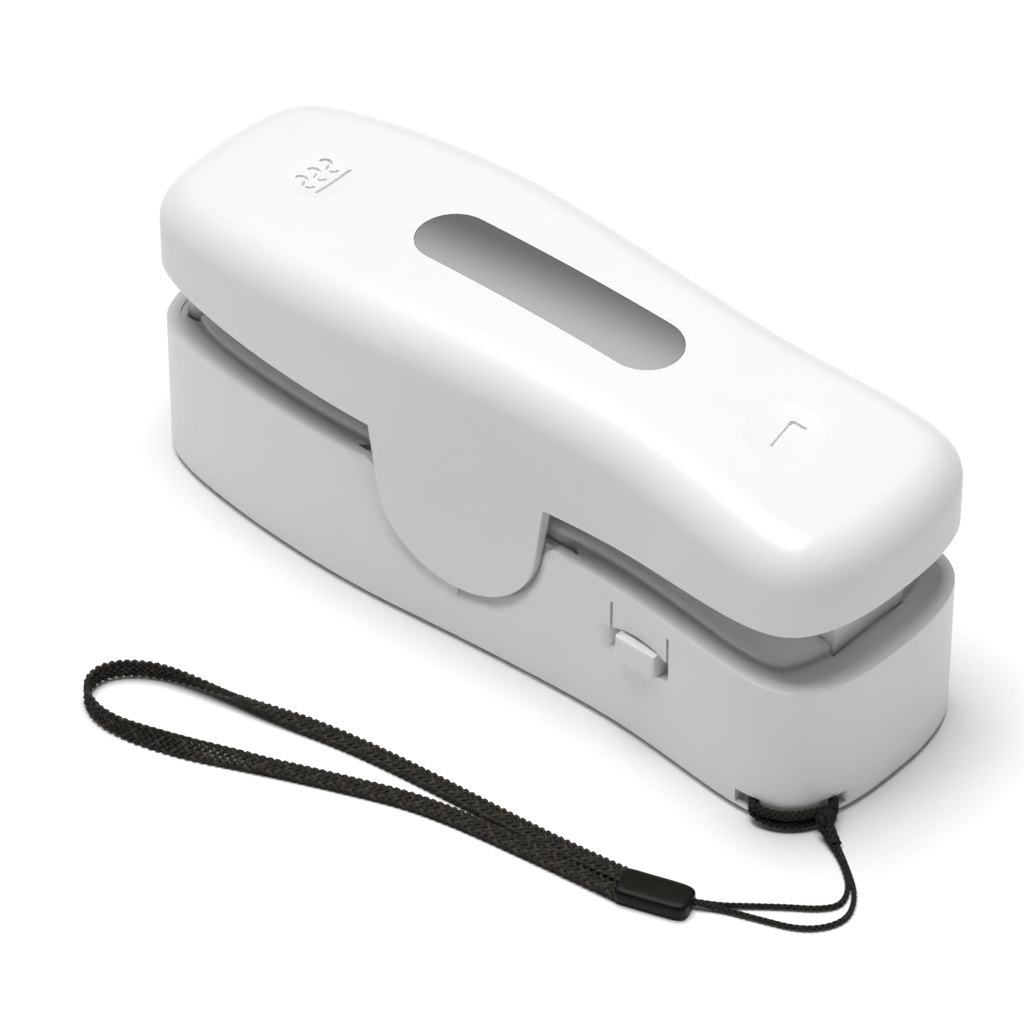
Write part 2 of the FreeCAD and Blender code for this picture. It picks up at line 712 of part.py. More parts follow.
def body_shell():
    outer = body_outer()
    cavity = outline_prism(body_inset + body_wall, floor_thickness)
    shell = outer.cut(cavity)
    shell = shell.fuse(cheek_ring())
    behind_wall = body_inset + body_wall - 0.3
    shell = shell.fuse(corner_block(behind_wall, slot_deep + 1.2, floor_thickness, slot_high + 1.5))
    for x, y in deck_posts:
        post_top = deck_z(x) - deck_thickness - fit_gap
        post_low = floor_thickness - 0.5 if x > door_end else cell_z() + cell_radius + gap
        side = math.copysign(1.0, y)
        wall_y = side * (half_width(x) - 1.0)
        web = block((x - wall_web, x + wall_web), (min(y, wall_y), max(y, wall_y)),
                    (post_low, deck_low() - fit_gap))
        shell = shell.fuse([rod(x, y, post_radius, post_low, post_top).common(outer), web])
    for x, y in board_posts():
        shell = shell.fuse(rod(x, y, board_post_radius, floor_thickness - 0.5, board_z))
    shell = shell.fuse([wall.common(outer) for wall in battery_walls()])
    shell = shell.fuse(button_guide())
    behind_lobe = outline_prism(lever_wall + gap)
    shell = shell.cut(notch_tool(lobe_gap, notch_flare).cut(behind_lobe))
    for tool in notch_bevels():
        shell = shell.cut(tool.cut(behind_lobe))
    shell = shell.cut(lanyard_tunnel())
    shell = shell.cut(button_window())
    for x, y in deck_posts:
        shell = shell.cut(rod(x, y, screw_radius, deck_z(x) - deck_thickness - 4.6, FAR))
    for x, y in board_posts():
        shell = shell.cut(rod(x, y, screw_radius, floor_thickness + 1.0, FAR))
    shell = shell.cut(door_shape(fit_gap))
    for start in hook_starts:
        for side in (-1, 1):
            near = side * (door_half - 0.2)
            far = side * (door_half + hook_reach + gap)
            y_range = (min(near, far), max(near, far))
            shell = shell.cut(block((start - door_travel - 0.5, start + hook_length + 0.5), y_range,
                                    (floor_thickness - hook_thickness - fit_gap, floor_thickness + 0.3)))
            way_in = (start - door_travel - 0.5, start - 0.6)
            shell = shell.cut(block(way_in, y_range, (-1.0, floor_thickness)))
    pin_hole = Part.makeCylinder(pivot_radius + 0.02, 2 * FAR, Vector(0, -FAR, pivot_z), Vector(0, 1, 0))
    inside = outline_prism(lever_wall + gap - 0.01)
    return shell.cut(pin_hole.common(inside))


def battery_door():
    plate = body_outer().common(door_shape(0.0))
    for start in hook_starts:
        for side in (-1, 1):
            near = side * (door_half - 1.5)
            far = side * (door_half + hook_reach)
            y_range = (min(near, far), max(near, far))
            plate = plate.fuse(block((start, start + hook_length), y_range,
                                     (floor_thickness - hook_thickness, floor_thickness)))
    first, step, number = grip_grooves
    wide, half, deep = grip_groove
    for x in [first - step * i for i in range(number)]:
        plate = plate.cut(block((x, x + wide), (-half, half), (-FAR, deep)))
    return plate


def deck_low():
    """Lower edge of the deck plate's skirt."""
    return rim_z - ledge_below_rim - deck_thickness - rim_drop


def deck_island(further_in, low, top):
    """Raised part of the deck: the outer shape drawn in, more at the ends than at the sides."""
    shorten = (length / 2 - deck_end_inset) / (length / 2 - deck_inset)
    return outline_prism(deck_inset + further_in, low, FAR, shorten).common(under_arc(top, rim_drop))


def deck_plate():
    """Raised deck with a low flange just inside the rim."""
    flange_inset = body_inset + body_wall + fit_gap
    low = deck_low()
    flange = outline_prism(flange_inset, low).common(under_arc(rim_z - ledge_below_rim, rim_drop))
    raised = deck_island(0.0, low, deck_top)
    rim = level_edges(raised, deck_top - rim_drop - 0.5, deck_top + 0.5)
    deck = flange.fuse(raised.makeFillet(deck_edge_radius, rim))
    deck = deck.cut(deck_island(deck_wall, -FAR, deck_top - deck_thickness))
    reach = lobe_half + cheek_margin + fit_gap
    sides = block((-reach, reach), (-FAR, FAR), (0, FAR))
    deck = deck.cut(sides.cut(outline_prism(lever_wall + 2 * gap + cheek_thickness)))
    deck = deck.cut(centred_block(heater_x, 0, heater_size[0] + 0.2, heater_size[1] + 0.2, 0, FAR))
    deck = deck.cut(centred_block(cutter_x, 0, insert_size[0] + 0.2, insert_size[1] + 0.2, 0, FAR))
    deck = deck.cut(rod(switch_x, 0, plunger_radius + gap, 0, FAR))
    pin_room = pivot_radius + gap
    deck = deck.cut(block((-pin_room, pin_room), (-FAR, FAR), (0, pivot_z + pin_room)))
    for x in (-spring_x, spring_x):
        deck = deck.fuse(rod(x, 0, spring_boss_radius, deck_z(x) - 0.5, deck_z(x) + spring_boss_height))
    for x, y in deck_posts:
        deck = deck.cut(rod(x, y, screw_radius + fit_gap, 0, FAR))
    return deck


def board_posts():
    along = board_size[0] / 2 - board_inset
    across = board_size[1] / 2 - board_inset
    return [(board_x + side_x * along, side_y * across) for side_x in (-1, 1) for side_y in (-1, 1)]


def pivot_pin():
    half = half_width(0, lever_wall) + lever_wall - 1.0
    pin = Part.makeCylinder(pivot_radius, 2 * half, Vector(0, -half, pivot_z), Vector(0, 1, 0))
    ends = [e for e in pin.Edges if e.Length > pivot_radius and e.BoundBox.YLength < 0.01]
    return pin.makeChamfer(0.2, ends)


def deck_screws():
    return [screw(x, y, deck_z(x) + deck_screw_lift, deck_z(x) - deck_screw_length, up=False)
            for x, y in deck_posts]


# ---------------------------------------------------------------- batteries and contacts
def battery_cell(side):
    """AA cell; the one on the +Y side has its nub towards the seal end."""
    can_start = cell_start + (nub_height if side > 0 else 0.0)
    centre = Vector(can_start, side * cell_spacing / 2, cell_z())
    can = Part.makeCylinder(cell_radius, cell_length - nub_height, centre, Vector(1, 0, 0))
    rims = [e for e in can.Edges if e.BoundBox.XLength < 0.01 and e.Length > cell_radius]
    can = can.makeFillet(cell_edge_radius, rims)
    nub_start = cell_start if side > 0 else cell_start + cell_length - nub_height - 0.5
    nub = Part.makeCylinder(
        nub_radius, nub_height + 0.5, Vector(nub_start, centre.y, centre.z), Vector(1, 0, 0))
    return can.fuse(nub)


def contact_boss(side, seal_end):
    """Raised round of a contact plate that meets a cell's nub."""
    plate_x = contact_x(seal_end)
    start = plate_x if seal_end else plate_x - contact_room + contact_play
    foot = Vector(start, side * cell_spacing / 2, cell_z())
    return Part.makeCylinder(nub_radius, contact_room - contact_play, foot, Vector(1, 0, 0))


def contact_plate(y_range, seal_end):
    start = contact_x(seal_end) - (contact_thickness if seal_end else 0.0)
    z_range = (cell_z() - contact_half_high, cell_z() + contact_half_high)
    return block((start, start + contact_thickness), y_range, z_range)


def contact_ring(side, seal_end):
    """Dished spring ring of a contact plate, wide at the plate, that meets a cell's flat end."""
    height = contact_room - contact_play
    toward_cell = Vector(1 if seal_end else -1, 0, 0)
    foot = Vector(contact_x(seal_end), side * cell_spacing / 2, cell_z())
    outer = Part.makeCone(ring_foot_radius, ring_top_radius, height, foot, toward_cell)
    inner = Part.makeCone(
        ring_foot_radius - contact_thickness, ring_top_radius - contact_thickness, height, foot, toward_cell)
    return outer.cut(inner)


def contact_bridge():
    half = cell_spacing / 2 + contact_half_wide
    return contact_plate((-half, half), True).fuse([contact_boss(1, True), contact_ring(-1, True)])


def single_contact(side):
    middle = side * cell_spacing / 2
    return contact_plate((middle - contact_half_wide, middle + contact_half_wide), False)


def contact_plus():
    return single_contact(-1).fuse(contact_boss(-1, False))


def contact_minus():
    return single_contact(1).fuse(contact_ring(1, False))


# ---------------------------------------------------------------- heater, cutter and switches
def heater_head():
    """Heat-proof block in the deck's window, with two terminal legs."""
    head = centred_block(heater_x, 0, heater_size[0], heater_size[1], heater_low, heater_top)
    head = head.makeFillet(0.5, level_edges(head, heater_top - 0.1, heater_top + 0.1))
    for side in (-1, 1):
        head = head.fuse(rod(heater_leg_x(), side * wire_y, leg_radius, heater_low - leg_length, heater_low))
    return head


def heater_leg_x():
    return heater_x + heater_size[0] / 2 - leg_inset


def heating_strip():
    return centred_block(
        heater_x, 0, strip_size[0], strip_size[1], heater_top, heater_top + strip_size[2])


def strip_cover():
    low = heater_top + strip_size[2]
    return centred_block(heater_x, 0, cover_size[0], cover_size[1], low, low + cover_size[2])


def cutter_insert():
    low = deck_z(cutter_x) - deck_thickness
    insert = centred_block(cutter_x, 0, insert_size[0], insert_size[1], low, insert_top)
    insert = insert.makeFillet(insert_edge_radius, level_edges(insert, insert_top - 0.1, insert_top + 0.1))
    return insert.cut(centred_block(
        cutter_x + blade_slot_shift, 0, blade_slot[0], blade_slot[1], insert_top - insert_slot_depth, FAR))


def switch_top():
    return deck_z(switch_x + switch_size[0] / 2) - deck_thickness - switch_under


def micro_switch():
    top = switch_top()
    body = centred_block(switch_x, 0, switch_size[0], switch_size[1], top - switch_size[2], top)
    return body.cut(rod(switch_x, 0, plunger_radius + 0.15, top - 2.0, FAR))


def switch_plunger():
    top = deck_z(switch_x) + plunger_height
    plunger = rod(switch_x, 0, plunger_radius, switch_top() - 1.0, top)
    return plunger.makeFillet(0.4, level_edges(plunger, top - 0.1, top + 0.1))


def return_spring(x):
    low = deck_z(x) + spring_wire / 2 + 0.05
    high = liner_z - spring_wire / 2 - 0.05
    helix = Part.makeHelix((high - low) / spring_turns, high - low, spring_radius, 0)
    profile = Part.Wire(Part.Circle(Vector(spring_radius, 0, 0), Vector(0, 1, 0), spring_wire / 2).toShape())
    spring = Part.Wire(helix).makePipeShell([profile], True, True)
    spring.translate(Vector(x, 0, low))
    return spring


def push_button():
    """Button block in the window, its flange behind the wall and its stem to the small switch."""
    outer_y = -half_width(button_x, body_inset)
    face_y = outer_y - button_proud
    flange_y = wall_face() + gap
    half_x = button_size[0] / 2
    half_z = button_size[1] / 2
    nub = block((button_x - half_x, button_x + half_x), (face_y, flange_y + 0.2),
                (button_z - half_z, button_z + half_z))
    nub = nub.makeFillet(0.6, [e for e in nub.Edges if e.BoundBox.YMax < face_y + 0.01])
    long_size, high_size, thickness = button_flange
    flange = block((button_x - long_size / 2, button_x + long_size / 2), (flange_y, flange_y + thickness),
                   (button_z - high_size / 2, button_z + high_size / 2))
    stem_end = button_switch_face - button_switch_pin - button_travel - 0.1
    stem = block((button_x - button_stem / 2, button_x + button_stem / 2), (flange_y, stem_end),
                 (button_z - button_stem / 2, button_z + button_stem / 2))
    return nub.fuse([flange, stem])


def button_switch():
    size_x, size_y, size_z = button_switch_size
    board_top = board_z + board_size[2]
    body = block((button_x - size_x / 2, button_x + size_x / 2),
                 (button_switch_face, button_switch_face + size_y), (board_top, board_top + size_z))
    pin = Part.makeCylinder(
        button_pin_radius, button_switch_pin + gap,
        Vector(button_x, button_switch_face - button_switch_pin, button_z), Vector(0, 1, 0))
    return body.fuse(pin)


def circuit_board():
    board = centred_block(board_x, 0, board_size[0], board_size[1], board_z, board_z + board_size[2])
    for x, y in board_posts():
        board = board.cut(rod(x, y, screw_radius + fit_gap, 0, FAR))
    return board


def board_parts():
    """Power transistor, two capacitors and the control chip on the board."""
    top = board_z + board_size[2]
    blocks = [centred_block(x, y, size_x, size_y, top, top + size_z)
              for x, y, size_x, size_y, size_z in (transistor, chip)]
    x, off_middle, radius, high = capacitor
    return blocks + [rod(x, side * off_middle, radius, top, top + high) for side in (-1, 1)]


def board_screws():
    head = board_z + board_size[2]
    return [screw(x, y, head, floor_thickness + 1.4, up=False) for x, y in board_posts()]


def supply_wire(side):
    """Wire from the board, over the cells and under the pivot pin, to one leg of the heater."""
    start_x = board_x - board_size[0] / 2 + wire_inset
    y = side * wire_y
    points = [
        Vector(start_x, y, board_z + board_size[2]), Vector(start_x, y, wire_z),
        Vector(heater_leg_x(), y, wire_z), Vector(heater_leg_x(), y, heater_low - leg_length),
    ]
    return tube_along(rounded_path(points, [wire_bend, wire_bend]), wire_radius)


# ---------------------------------------------------------------- lanyard
STRING_OUTER = [
    (59.1, -13.8, 1.8), (61.6, -14.3, 0.8), (65.2, -15.9, 0.5), (68.8, -18.0, 0.5), (71.6, -21.2, 0.5),
    (72.2, -25.6, 0.5), (70.4, -30.2, 0.5), (65.8, -33.4, 0.5), (60.6, -35.6, 0.7), (56.15, -36.55, 1.3),
]
STRING_INNER = [
    (58.9, -14.8, 1.8), (61.0, -16.3, 0.8), (64.3, -17.9, 0.5), (67.6, -19.8, 0.5), (69.8, -22.6, 0.5),
    (70.1, -25.9, 0.5), (68.3, -29.0, 0.5), (64.4, -31.6, 0.5), (60.0, -33.8, 0.7), (55.7, -35.0, 1.3),
]
STRAP = [
    (44.4, -37.5, 1.45), (36.0, -38.1, 1.45), (24.5, -39.0, 1.45), (13.6, -40.1, 1.45), (2.8, -41.6, 1.45),
    (-7.5, -44.1, 1.45), (-17.5, -46.8, 1.45), (-25.2, -50.0, 1.45), (-28.9, -54.8, 1.45),
    (-27.4, -59.2, 1.45), (-21.7, -60.6, 1.45), (-12.5, -56.9, 1.45), (-3.0, -52.2, 1.45),
    (7.5, -47.7, 1.45), (19.5, -43.8, 1.45), (33.5, -41.6, 1.45), (45.3, -40.5, 1.45),
]
# Round the corner, from one mouth of the tunnel to the other: x, y and how far the two turns have
# spread, from 0 in the mouths to 1 outside.
CORNER_CORD = [
    (49.6, -16.6, 0.0), (50.2, -19.0, 0.2), (52.9, -18.3, 1.0), (55.1, -17.1, 1.0), (56.8, -15.5, 1.0),
    (58.4, -13.4, 1.0), (59.3, -11.0, 0.4), (57.2, -10.6, 0.0),
]


def corner_radii(points, share=0.45):
    """Arc radius at each inner point: share of the shorter run over the tangent of half the turn."""
    radii = []
    for i in range(1, len(points) - 1):
        into = points[i] - points[i - 1]
        out = points[i + 1] - points[i]
        turn = into.getAngle(out)
        radii.append(share * min(into.Length, out.Length) / math.tan(turn / 2))
    return radii


def cord(name, route, diameter):
    """Tube along a route of straight runs joined by tangent arcs."""
    points = [Vector(*point) for point in route]
    radii = corner_radii(points)
    edges = rounded_path(points, radii)
    tube = tube_along(edges, diameter / 2)
    run = sum(edge.Length for edge in edges)
    drift = tube.Volume / (run * math.pi * diameter**2 / 4) - 1
    print(name, "length", round(run, 1), "radii", [round(radius, 1) for radius in radii])
    print(name, "volume over section times length, less one:", round(drift, 4))
    return tube


def corner_hitch():
    """Two turns of the string round the corner and the knot that draws them together."""
    cords = []
    for mouth_z, outer_z in zip(mouth_cord_heights, outer_cord_heights):
        points = [Vector(x, y, mouth_z + spread * (outer_z - mouth_z)) for x, y, spread in CORNER_CORD]
        cords.append(tube_along(rounded_path(points, corner_radii(points)), string_diameter / 2 + 0.05))
    knot = Part.makeSphere(1.0, Vector())
    stretch = FreeCAD.Matrix()
    stretch.scale(*knot_size)
    knot = knot.transformGeometry(stretch)
    knot.translate(Vector(*knot_middle))
    return cords[0].fuse([cords[1], knot.cut(outline_prism(body_inset - 0.1))])


def ferrule():
    long_size, wide_size, high_size = ferrule_size
    sleeve = centred_block(0, 0, long_size, wide_size, ferrule_low, high_size)
    upright = [e for e in sleeve.Edges if e.BoundBox.ZLength > 1 and e.BoundBox.XMax > 0]
    sleeve = sleeve.makeFillet(ferrule_corner, upright)
    sleeve.rotate(Vector(), Vector(0, 0, 1), ferrule_turn)
    sleeve.translate(Vector(*ferrule_middle))
    return sleeve


# ---------------------------------------------------------------- the pieces
parts = {}


def add(name, solids):
    parts[name] = Part.makeCompound(solids) if isinstance(solids, list) else solids


add("lever_cover", lever_cover())
add("lever_liner", lever_liner())
add("label_plate", label_plate())
add("lever_screws", lever_screws())
add("pad_holder", pad_holder())
add("silicone_pad", silicone_pad())
add("blade_holder", blade_holder())
add("cutter_blade", cutter_blade())
add("body_shell", body_shell())
add("battery_door", battery_door())
add("deck_plate", deck_plate())
add("deck_screws", deck_screws())
add("pivot_pin", pivot_pin())
add("battery_cell_left", battery_cell(1))
add("battery_cell_right", battery_cell(-1))
add("contact_bridge", contact_bridge())
add("contact_plus", contact_plus())
add("contact_minus", contact_minus())
add("heater_head", heater_head())
add("heating_strip", heating_strip())
add("strip_cover", strip_cover())
add("cutter_insert", cutter_insert())
add("micro_switch", micro_switch())
add("switch_plunger", switch_plunger())
add("return_spring_seal", return_spring(-spring_x))
add("return_spring_cutter", return_spring(spring_x))
add("push_button", push_button())
add("button_switch", button_switch())
add("circuit_board", circuit_board())
add("board_parts", board_parts())
add("board_screws", board_screws())
add("supply_wire_left", supply_wire(1))
add("supply_wire_right", supply_wire(-1))
add("lanyard_hitch", corner_hitch())
add("lanyard_string_outer", cord("lanyard_string_outer", STRING_OUTER, string_diameter))
add("lanyard_string_inner", cord("lanyard_string_inner", STRING_INNER, string_diameter))
add("lanyard_ferrule", ferrule())
add("lanyard_strap", cord("lanyard_strap", STRAP, strap_diameter))

os.makedirs("parts", exist_ok=True)
for name, shape in parts.items():
    print(name, "valid" if shape.isValid() else "NOT VALID", len(shape.Solids), round(shape.Volume, 1))
    shape.exportStep("parts/" + name + ".step")
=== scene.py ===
# A hand-held bag sealer: glossy white moulded lever over a waisted housing, with a braided wrist
# lanyard hitched round one corner. Metres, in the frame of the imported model: X runs from the seal end
# to the cutter end, -Y is the side of the push button, Z is up.
import json
import math

import bmesh
import bpy
import numpy as np
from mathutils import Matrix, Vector


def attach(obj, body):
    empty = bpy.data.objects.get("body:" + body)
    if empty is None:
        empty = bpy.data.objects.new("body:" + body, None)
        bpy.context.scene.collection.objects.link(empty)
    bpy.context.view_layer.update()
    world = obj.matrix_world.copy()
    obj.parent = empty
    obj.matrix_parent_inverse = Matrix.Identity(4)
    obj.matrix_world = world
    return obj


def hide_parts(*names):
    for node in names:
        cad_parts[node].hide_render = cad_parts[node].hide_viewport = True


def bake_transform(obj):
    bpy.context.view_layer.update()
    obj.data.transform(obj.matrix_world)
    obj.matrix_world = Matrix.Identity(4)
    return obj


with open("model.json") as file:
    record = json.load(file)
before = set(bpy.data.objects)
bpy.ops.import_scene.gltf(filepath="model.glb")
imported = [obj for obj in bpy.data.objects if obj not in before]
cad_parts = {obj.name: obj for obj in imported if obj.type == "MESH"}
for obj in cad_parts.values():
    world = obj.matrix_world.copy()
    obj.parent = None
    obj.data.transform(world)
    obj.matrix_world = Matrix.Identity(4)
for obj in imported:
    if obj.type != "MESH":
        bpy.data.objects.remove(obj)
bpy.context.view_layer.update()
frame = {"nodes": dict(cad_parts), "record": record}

MM = 0.001
HALF_LENGTH = 59.0                  # mm, as every shape's number below
HALF_WIDTH = 19.35

# ---------------------------------------------------------------- camera and light
VIEW_TURN = math.radians(41.3035)
VIEW_RISE = math.radians(39.9306)
VIEW_DISTANCE = 0.820
LOOK_AT = Vector((0.0, 0.0, 22.5 * MM))
LENS = 222.75                       # mm
AIM_RIGHT = -4.58 * MM              # the middle of the view, from LOOK_AT
AIM_UP = -8.77 * MM
SENSOR = 36.0                       # mm
NEAREST, FARTHEST = 0.01, 20.0      # metres from the camera that it draws
SKY_STRENGTH = 0.04
OVERHEAD_PLACE = (-0.10, -0.06, 1.6)
OVERHEAD_SIZE = (1.0, 1.0)
OVERHEAD_POWER = 30.5               # watts


def linear(colour):
    """An sRGB hex colour as linear red, green, blue and an alpha of 1."""
    channels = [int(colour[i:i + 2], 16) / 255 for i in (1, 3, 5)]
    return [c / 12.92 if c <= 0.04045 else ((c + 0.055) / 1.055) ** 2.4 for c in channels] + [1.0]


def view_axes():
    """Unit vectors from LOOK_AT towards the camera, to its right and up."""
    back = Vector((
        math.sin(VIEW_TURN) * math.cos(VIEW_RISE), -math.cos(VIEW_TURN) * math.cos(VIEW_RISE),
        math.sin(VIEW_RISE)))
    right = Vector((math.cos(VIEW_TURN), math.sin(VIEW_TURN), 0.0))
    return back, right, back.cross(right)


def make_camera():
    back, right, up = view_axes()
    data = bpy.data.cameras.new("camera")
    data.lens = LENS
    data.sensor_width = SENSOR
    data.clip_start = NEAREST
    data.clip_end = FARTHEST
    camera = bpy.data.objects.new("camera", data)
    bpy.context.scene.collection.objects.link(camera)
    camera.location = LOOK_AT + back * VIEW_DISTANCE
    aim = LOOK_AT + right * AIM_RIGHT + up * AIM_UP
    camera.rotation_euler = (camera.location - aim).to_track_quat("Z", "Y").to_euler()
    bpy.context.scene.camera = camera


def make_light():
    """Dim even surroundings and one very wide soft light overhead, so that what faces up is white,
    upright walls are lit mostly by the pale floor, and shadows have no edge."""
    world = bpy.data.worlds.new("studio")
    bpy.context.scene.world = world
    world.use_nodes = True
    background = world.node_tree.nodes["Background"]
    background.inputs["Color"].default_value = (1.0, 1.0, 1.0, 1.0)
    background.inputs["Strength"].default_value = SKY_STRENGTH
    data = bpy.data.lights.new("overhead", "AREA")
    data.shape = "RECTANGLE"
    data.size, data.size_y = OVERHEAD_SIZE
    data.energy = OVERHEAD_POWER
    light = bpy.data.objects.new("overhead", data)
    bpy.context.scene.collection.objects.link(light)
    light.location = OVERHEAD_PLACE
    light.rotation_euler = Vector(OVERHEAD_PLACE).to_track_quat("Z", "Y").to_euler()
    view = bpy.context.scene.view_settings
    view.view_transform = "Standard"
    view.look = "None"


# ---------------------------------------------------------------- materials
MIX_LOW, MIX_HIGH, MIX_RESULT = 6, 7, 2     # the Mix node's colour sockets


def add_node(tree, kind, settings=None, inputs=None):
    """A node of this kind with its settings; each input takes a value, or an output socket to link."""
    node = tree.nodes.new(kind)
    for name, value in (settings or {}).items():
        setattr(node, name, value)
    for name, value in (inputs or {}).items():
        if isinstance(value, bpy.types.NodeSocket):
            tree.links.new(value, node.inputs[name])
        else:
            node.inputs[name].default_value = value
    return node


def new_material(name, roughness, ior=None, metallic=0.0, colour="#ffffff"):
    material = bpy.data.materials.new(name)
    material.use_nodes = True
    shader = material.node_tree.nodes["Principled BSDF"]
    shader.inputs["Base Color"].default_value = linear(colour)
    shader.inputs["Roughness"].default_value = roughness
    shader.inputs["Metallic"].default_value = metallic
    if ior is not None:
        shader.inputs["IOR"].default_value = ior
    return material, material.node_tree, shader


def millimetres(tree):
    """Object coordinates in millimetres."""
    place = add_node(tree, "ShaderNodeTexCoord").outputs["Object"]
    return add_node(tree, "ShaderNodeVectorMath", {"operation": "SCALE"},
                    {0: place, "Scale": 1 / MM}).outputs["Vector"]


def mottle(tree, shader, per_mm, low, high, roughness):
    """Colour that wanders between two hex values and a roughness that wanders with it."""
    cloud = add_node(tree, "ShaderNodeTexNoise", None,
                     {"Vector": millimetres(tree), "Scale": per_mm, "Detail": 4.0}).outputs["Fac"]
    blend = add_node(tree, "ShaderNodeMix", {"data_type": "RGBA"}, {"Factor": cloud})
    blend.inputs[MIX_LOW].default_value = linear(low)
    blend.inputs[MIX_HIGH].default_value = linear(high)
    tree.links.new(blend.outputs[MIX_RESULT], shader.inputs["Base Color"])
    spread = add_node(tree, "ShaderNodeMapRange", None,
                      {"Value": cloud, "To Min": roughness[0], "To Max": roughness[1]})
    tree.links.new(spread.outputs["Result"], shader.inputs["Roughness"])


def grain(tree, shader, per_mm, height_mm):
    """Fine bumps, per_mm of them to the millimetre, height_mm high."""
    cloud = add_node(tree, "ShaderNodeTexNoise", None,
                     {"Vector": millimetres(tree), "Scale": per_mm, "Detail": 3.0}).outputs["Fac"]
    bump = add_node(tree, "ShaderNodeBump", None,
                    {"Height": cloud, "Strength": 1.0, "Distance": height_mm * MM})
    tree.links.new(bump.outputs["Normal"], shader.inputs["Normal"])


def white_abs():
    """Moulded ABS from a polished tool: near white, a soft gloss with a very faint orange peel."""
    material, tree, shader = new_material("white_abs", 0.34, 1.53)
    mottle(tree, shader, 0.05, "#eeeeef", "#f3f3f3", (0.31, 0.37))
    grain(tree, shader, 1.2, 0.004)
    return material


def textured_abs():
    """Moulded ABS from a spark-eroded tool: near white and matt, with a fine even grain."""
    material, tree, shader = new_material("textured_abs", 0.55, 1.53)
    mottle(tree, shader, 0.08, "#ececec", "#f4f4f4", (0.50, 0.60))
    grain(tree, shader, 4.0, 0.015)
    return material


PAINTED_REFLECTION_SLOPE = -0.10                  # how the label's painted reflection, a fade, leans with X
PAINTED_REFLECTION_NEAR, PAINTED_REFLECTION_FAR = -6.5, 6.0     # mm across the label where the painted reflection is lightest and darkest


def grey_film_painted_reflection():
    """Grey film, satin, with a painted reflection: its colour fades from dark at the far edge to light at
    the near one.
    """
    material, tree, shader = new_material("grey_film_painted_reflection", 0.42, 1.5)
    place = add_node(tree, "ShaderNodeSeparateXYZ", None, {"Vector": millimetres(tree)}).outputs
    tilt = add_node(tree, "ShaderNodeMath", {"operation": "MULTIPLY_ADD"},
                    {0: place["X"], 1: PAINTED_REFLECTION_SLOPE, 2: place["Y"]}).outputs["Value"]
    share = add_node(tree, "ShaderNodeMapRange", {"interpolation_type": "SMOOTHSTEP"},
                     {"Value": tilt, "From Min": PAINTED_REFLECTION_NEAR, "From Max": PAINTED_REFLECTION_FAR}).outputs["Result"]
    # Painted reflection: the colour runs from light grey at the near edge to dark grey at the far edge.
    blend = add_node(tree, "ShaderNodeMix", {"data_type": "RGBA"}, {"Factor": share})
    blend.inputs[MIX_LOW].default_value = linear("#b4b4b4")
    blend.inputs[MIX_HIGH].default_value = linear("#636363")
    tree.links.new(blend.outputs[MIX_RESULT], shader.inputs["Base Color"])
    grain(tree, shader, 9.0, 0.004)
    return material


def plain_plastic(name, colours, roughness, per_mm=3.0, height_mm=0.01, ior=1.5):
    """Moulded resin with a fine tool grain and a little unevenness of colour."""
    material, tree, shader = new_material(name, roughness, ior)
    mottle(tree, shader, 0.3, colours[0], colours[1], (roughness - 0.05, roughness + 0.05))
    grain(tree, shader, per_mm, height_mm)
    return material


def metal(name, colours, roughness, per_mm=2.0, height_mm=0.003):
    """Metal with a worn mill finish: fine marks and a roughness that wanders."""
    material, tree, shader = new_material(name, roughness, None, 1.0)
    mottle(tree, shader, 0.6, colours[0], colours[1], (roughness - 0.06, roughness + 0.08))
    grain(tree, shader, per_mm, height_mm)
    return material


def yarn(name, low, high, sheen):
    """Nylon filament yarn: dark, with fine streaks along it and a weak sheen."""
    material, tree, shader = new_material(name, 0.62, 1.53)
    mottle(tree, shader, 2.5, low, high, (0.55, 0.70))
    grain(tree, shader, 14.0, 0.02)
    shader.inputs["Specular IOR Level"].default_value = 0.2
    shader.inputs["Sheen Weight"].default_value = sheen
    shader.inputs["Sheen Roughness"].default_value = 0.4
    return material


MATERIALS = {
    "white_abs": white_abs(),
    "textured_abs": textured_abs(),
    "grey_film_painted_reflection": grey_film_painted_reflection(),
    "silicone": plain_plastic("silicone", ("#b34a38", "#bd5340"), 0.62, 5.0, 0.008, 1.41),
    "heater_resin": plain_plastic("heater_resin", ("#dcdcd8", "#e6e6e2"), 0.6, 4.0, 0.012, 1.6),
    "black_resin": plain_plastic("black_resin", ("#161616", "#1f1f1f"), 0.45),
    "acetal": plain_plastic("acetal", ("#dadad6", "#e2e2de"), 0.3, 2.0, 0.004, 1.48),
    "solder_mask": plain_plastic("solder_mask", ("#0f4d2f", "#135838"), 0.28, 1.5, 0.006),
    "cell_jacket": plain_plastic("cell_jacket", ("#1d2733", "#243040"), 0.25, 1.0, 0.003),
    "red_pvc": plain_plastic("red_pvc", ("#a01414", "#ac1a1a"), 0.42),
    "black_pvc": plain_plastic("black_pvc", ("#0d0d0d", "#151515"), 0.42),
    "glass_cloth": plain_plastic("glass_cloth", ("#8a6038", "#946a40"), 0.5, 3.0, 0.02, 1.4),
    "ferrule_plastic": plain_plastic("ferrule_plastic", ("#0b0803", "#120d06"), 0.45, 2.5, 0.012, 1.25),
    "spring_steel": metal("spring_steel", ("#b9b9b6", "#c6c6c3"), 0.28),
    "zinc_plate": metal("zinc_plate", ("#c2c2bd", "#cfcfca"), 0.34),
    "nickel_plate": metal("nickel_plate", ("#c9c4ba", "#d4cfc5"), 0.24),
    "heating_alloy": metal("heating_alloy", ("#8f887e", "#9b948a"), 0.38),
    "black_yarn": yarn("black_yarn", "#1b1916", "#2d2a24", 0.02),
    "brown_yarn": yarn("brown_yarn", "#302c25", "#423a2f", 0.03),
}

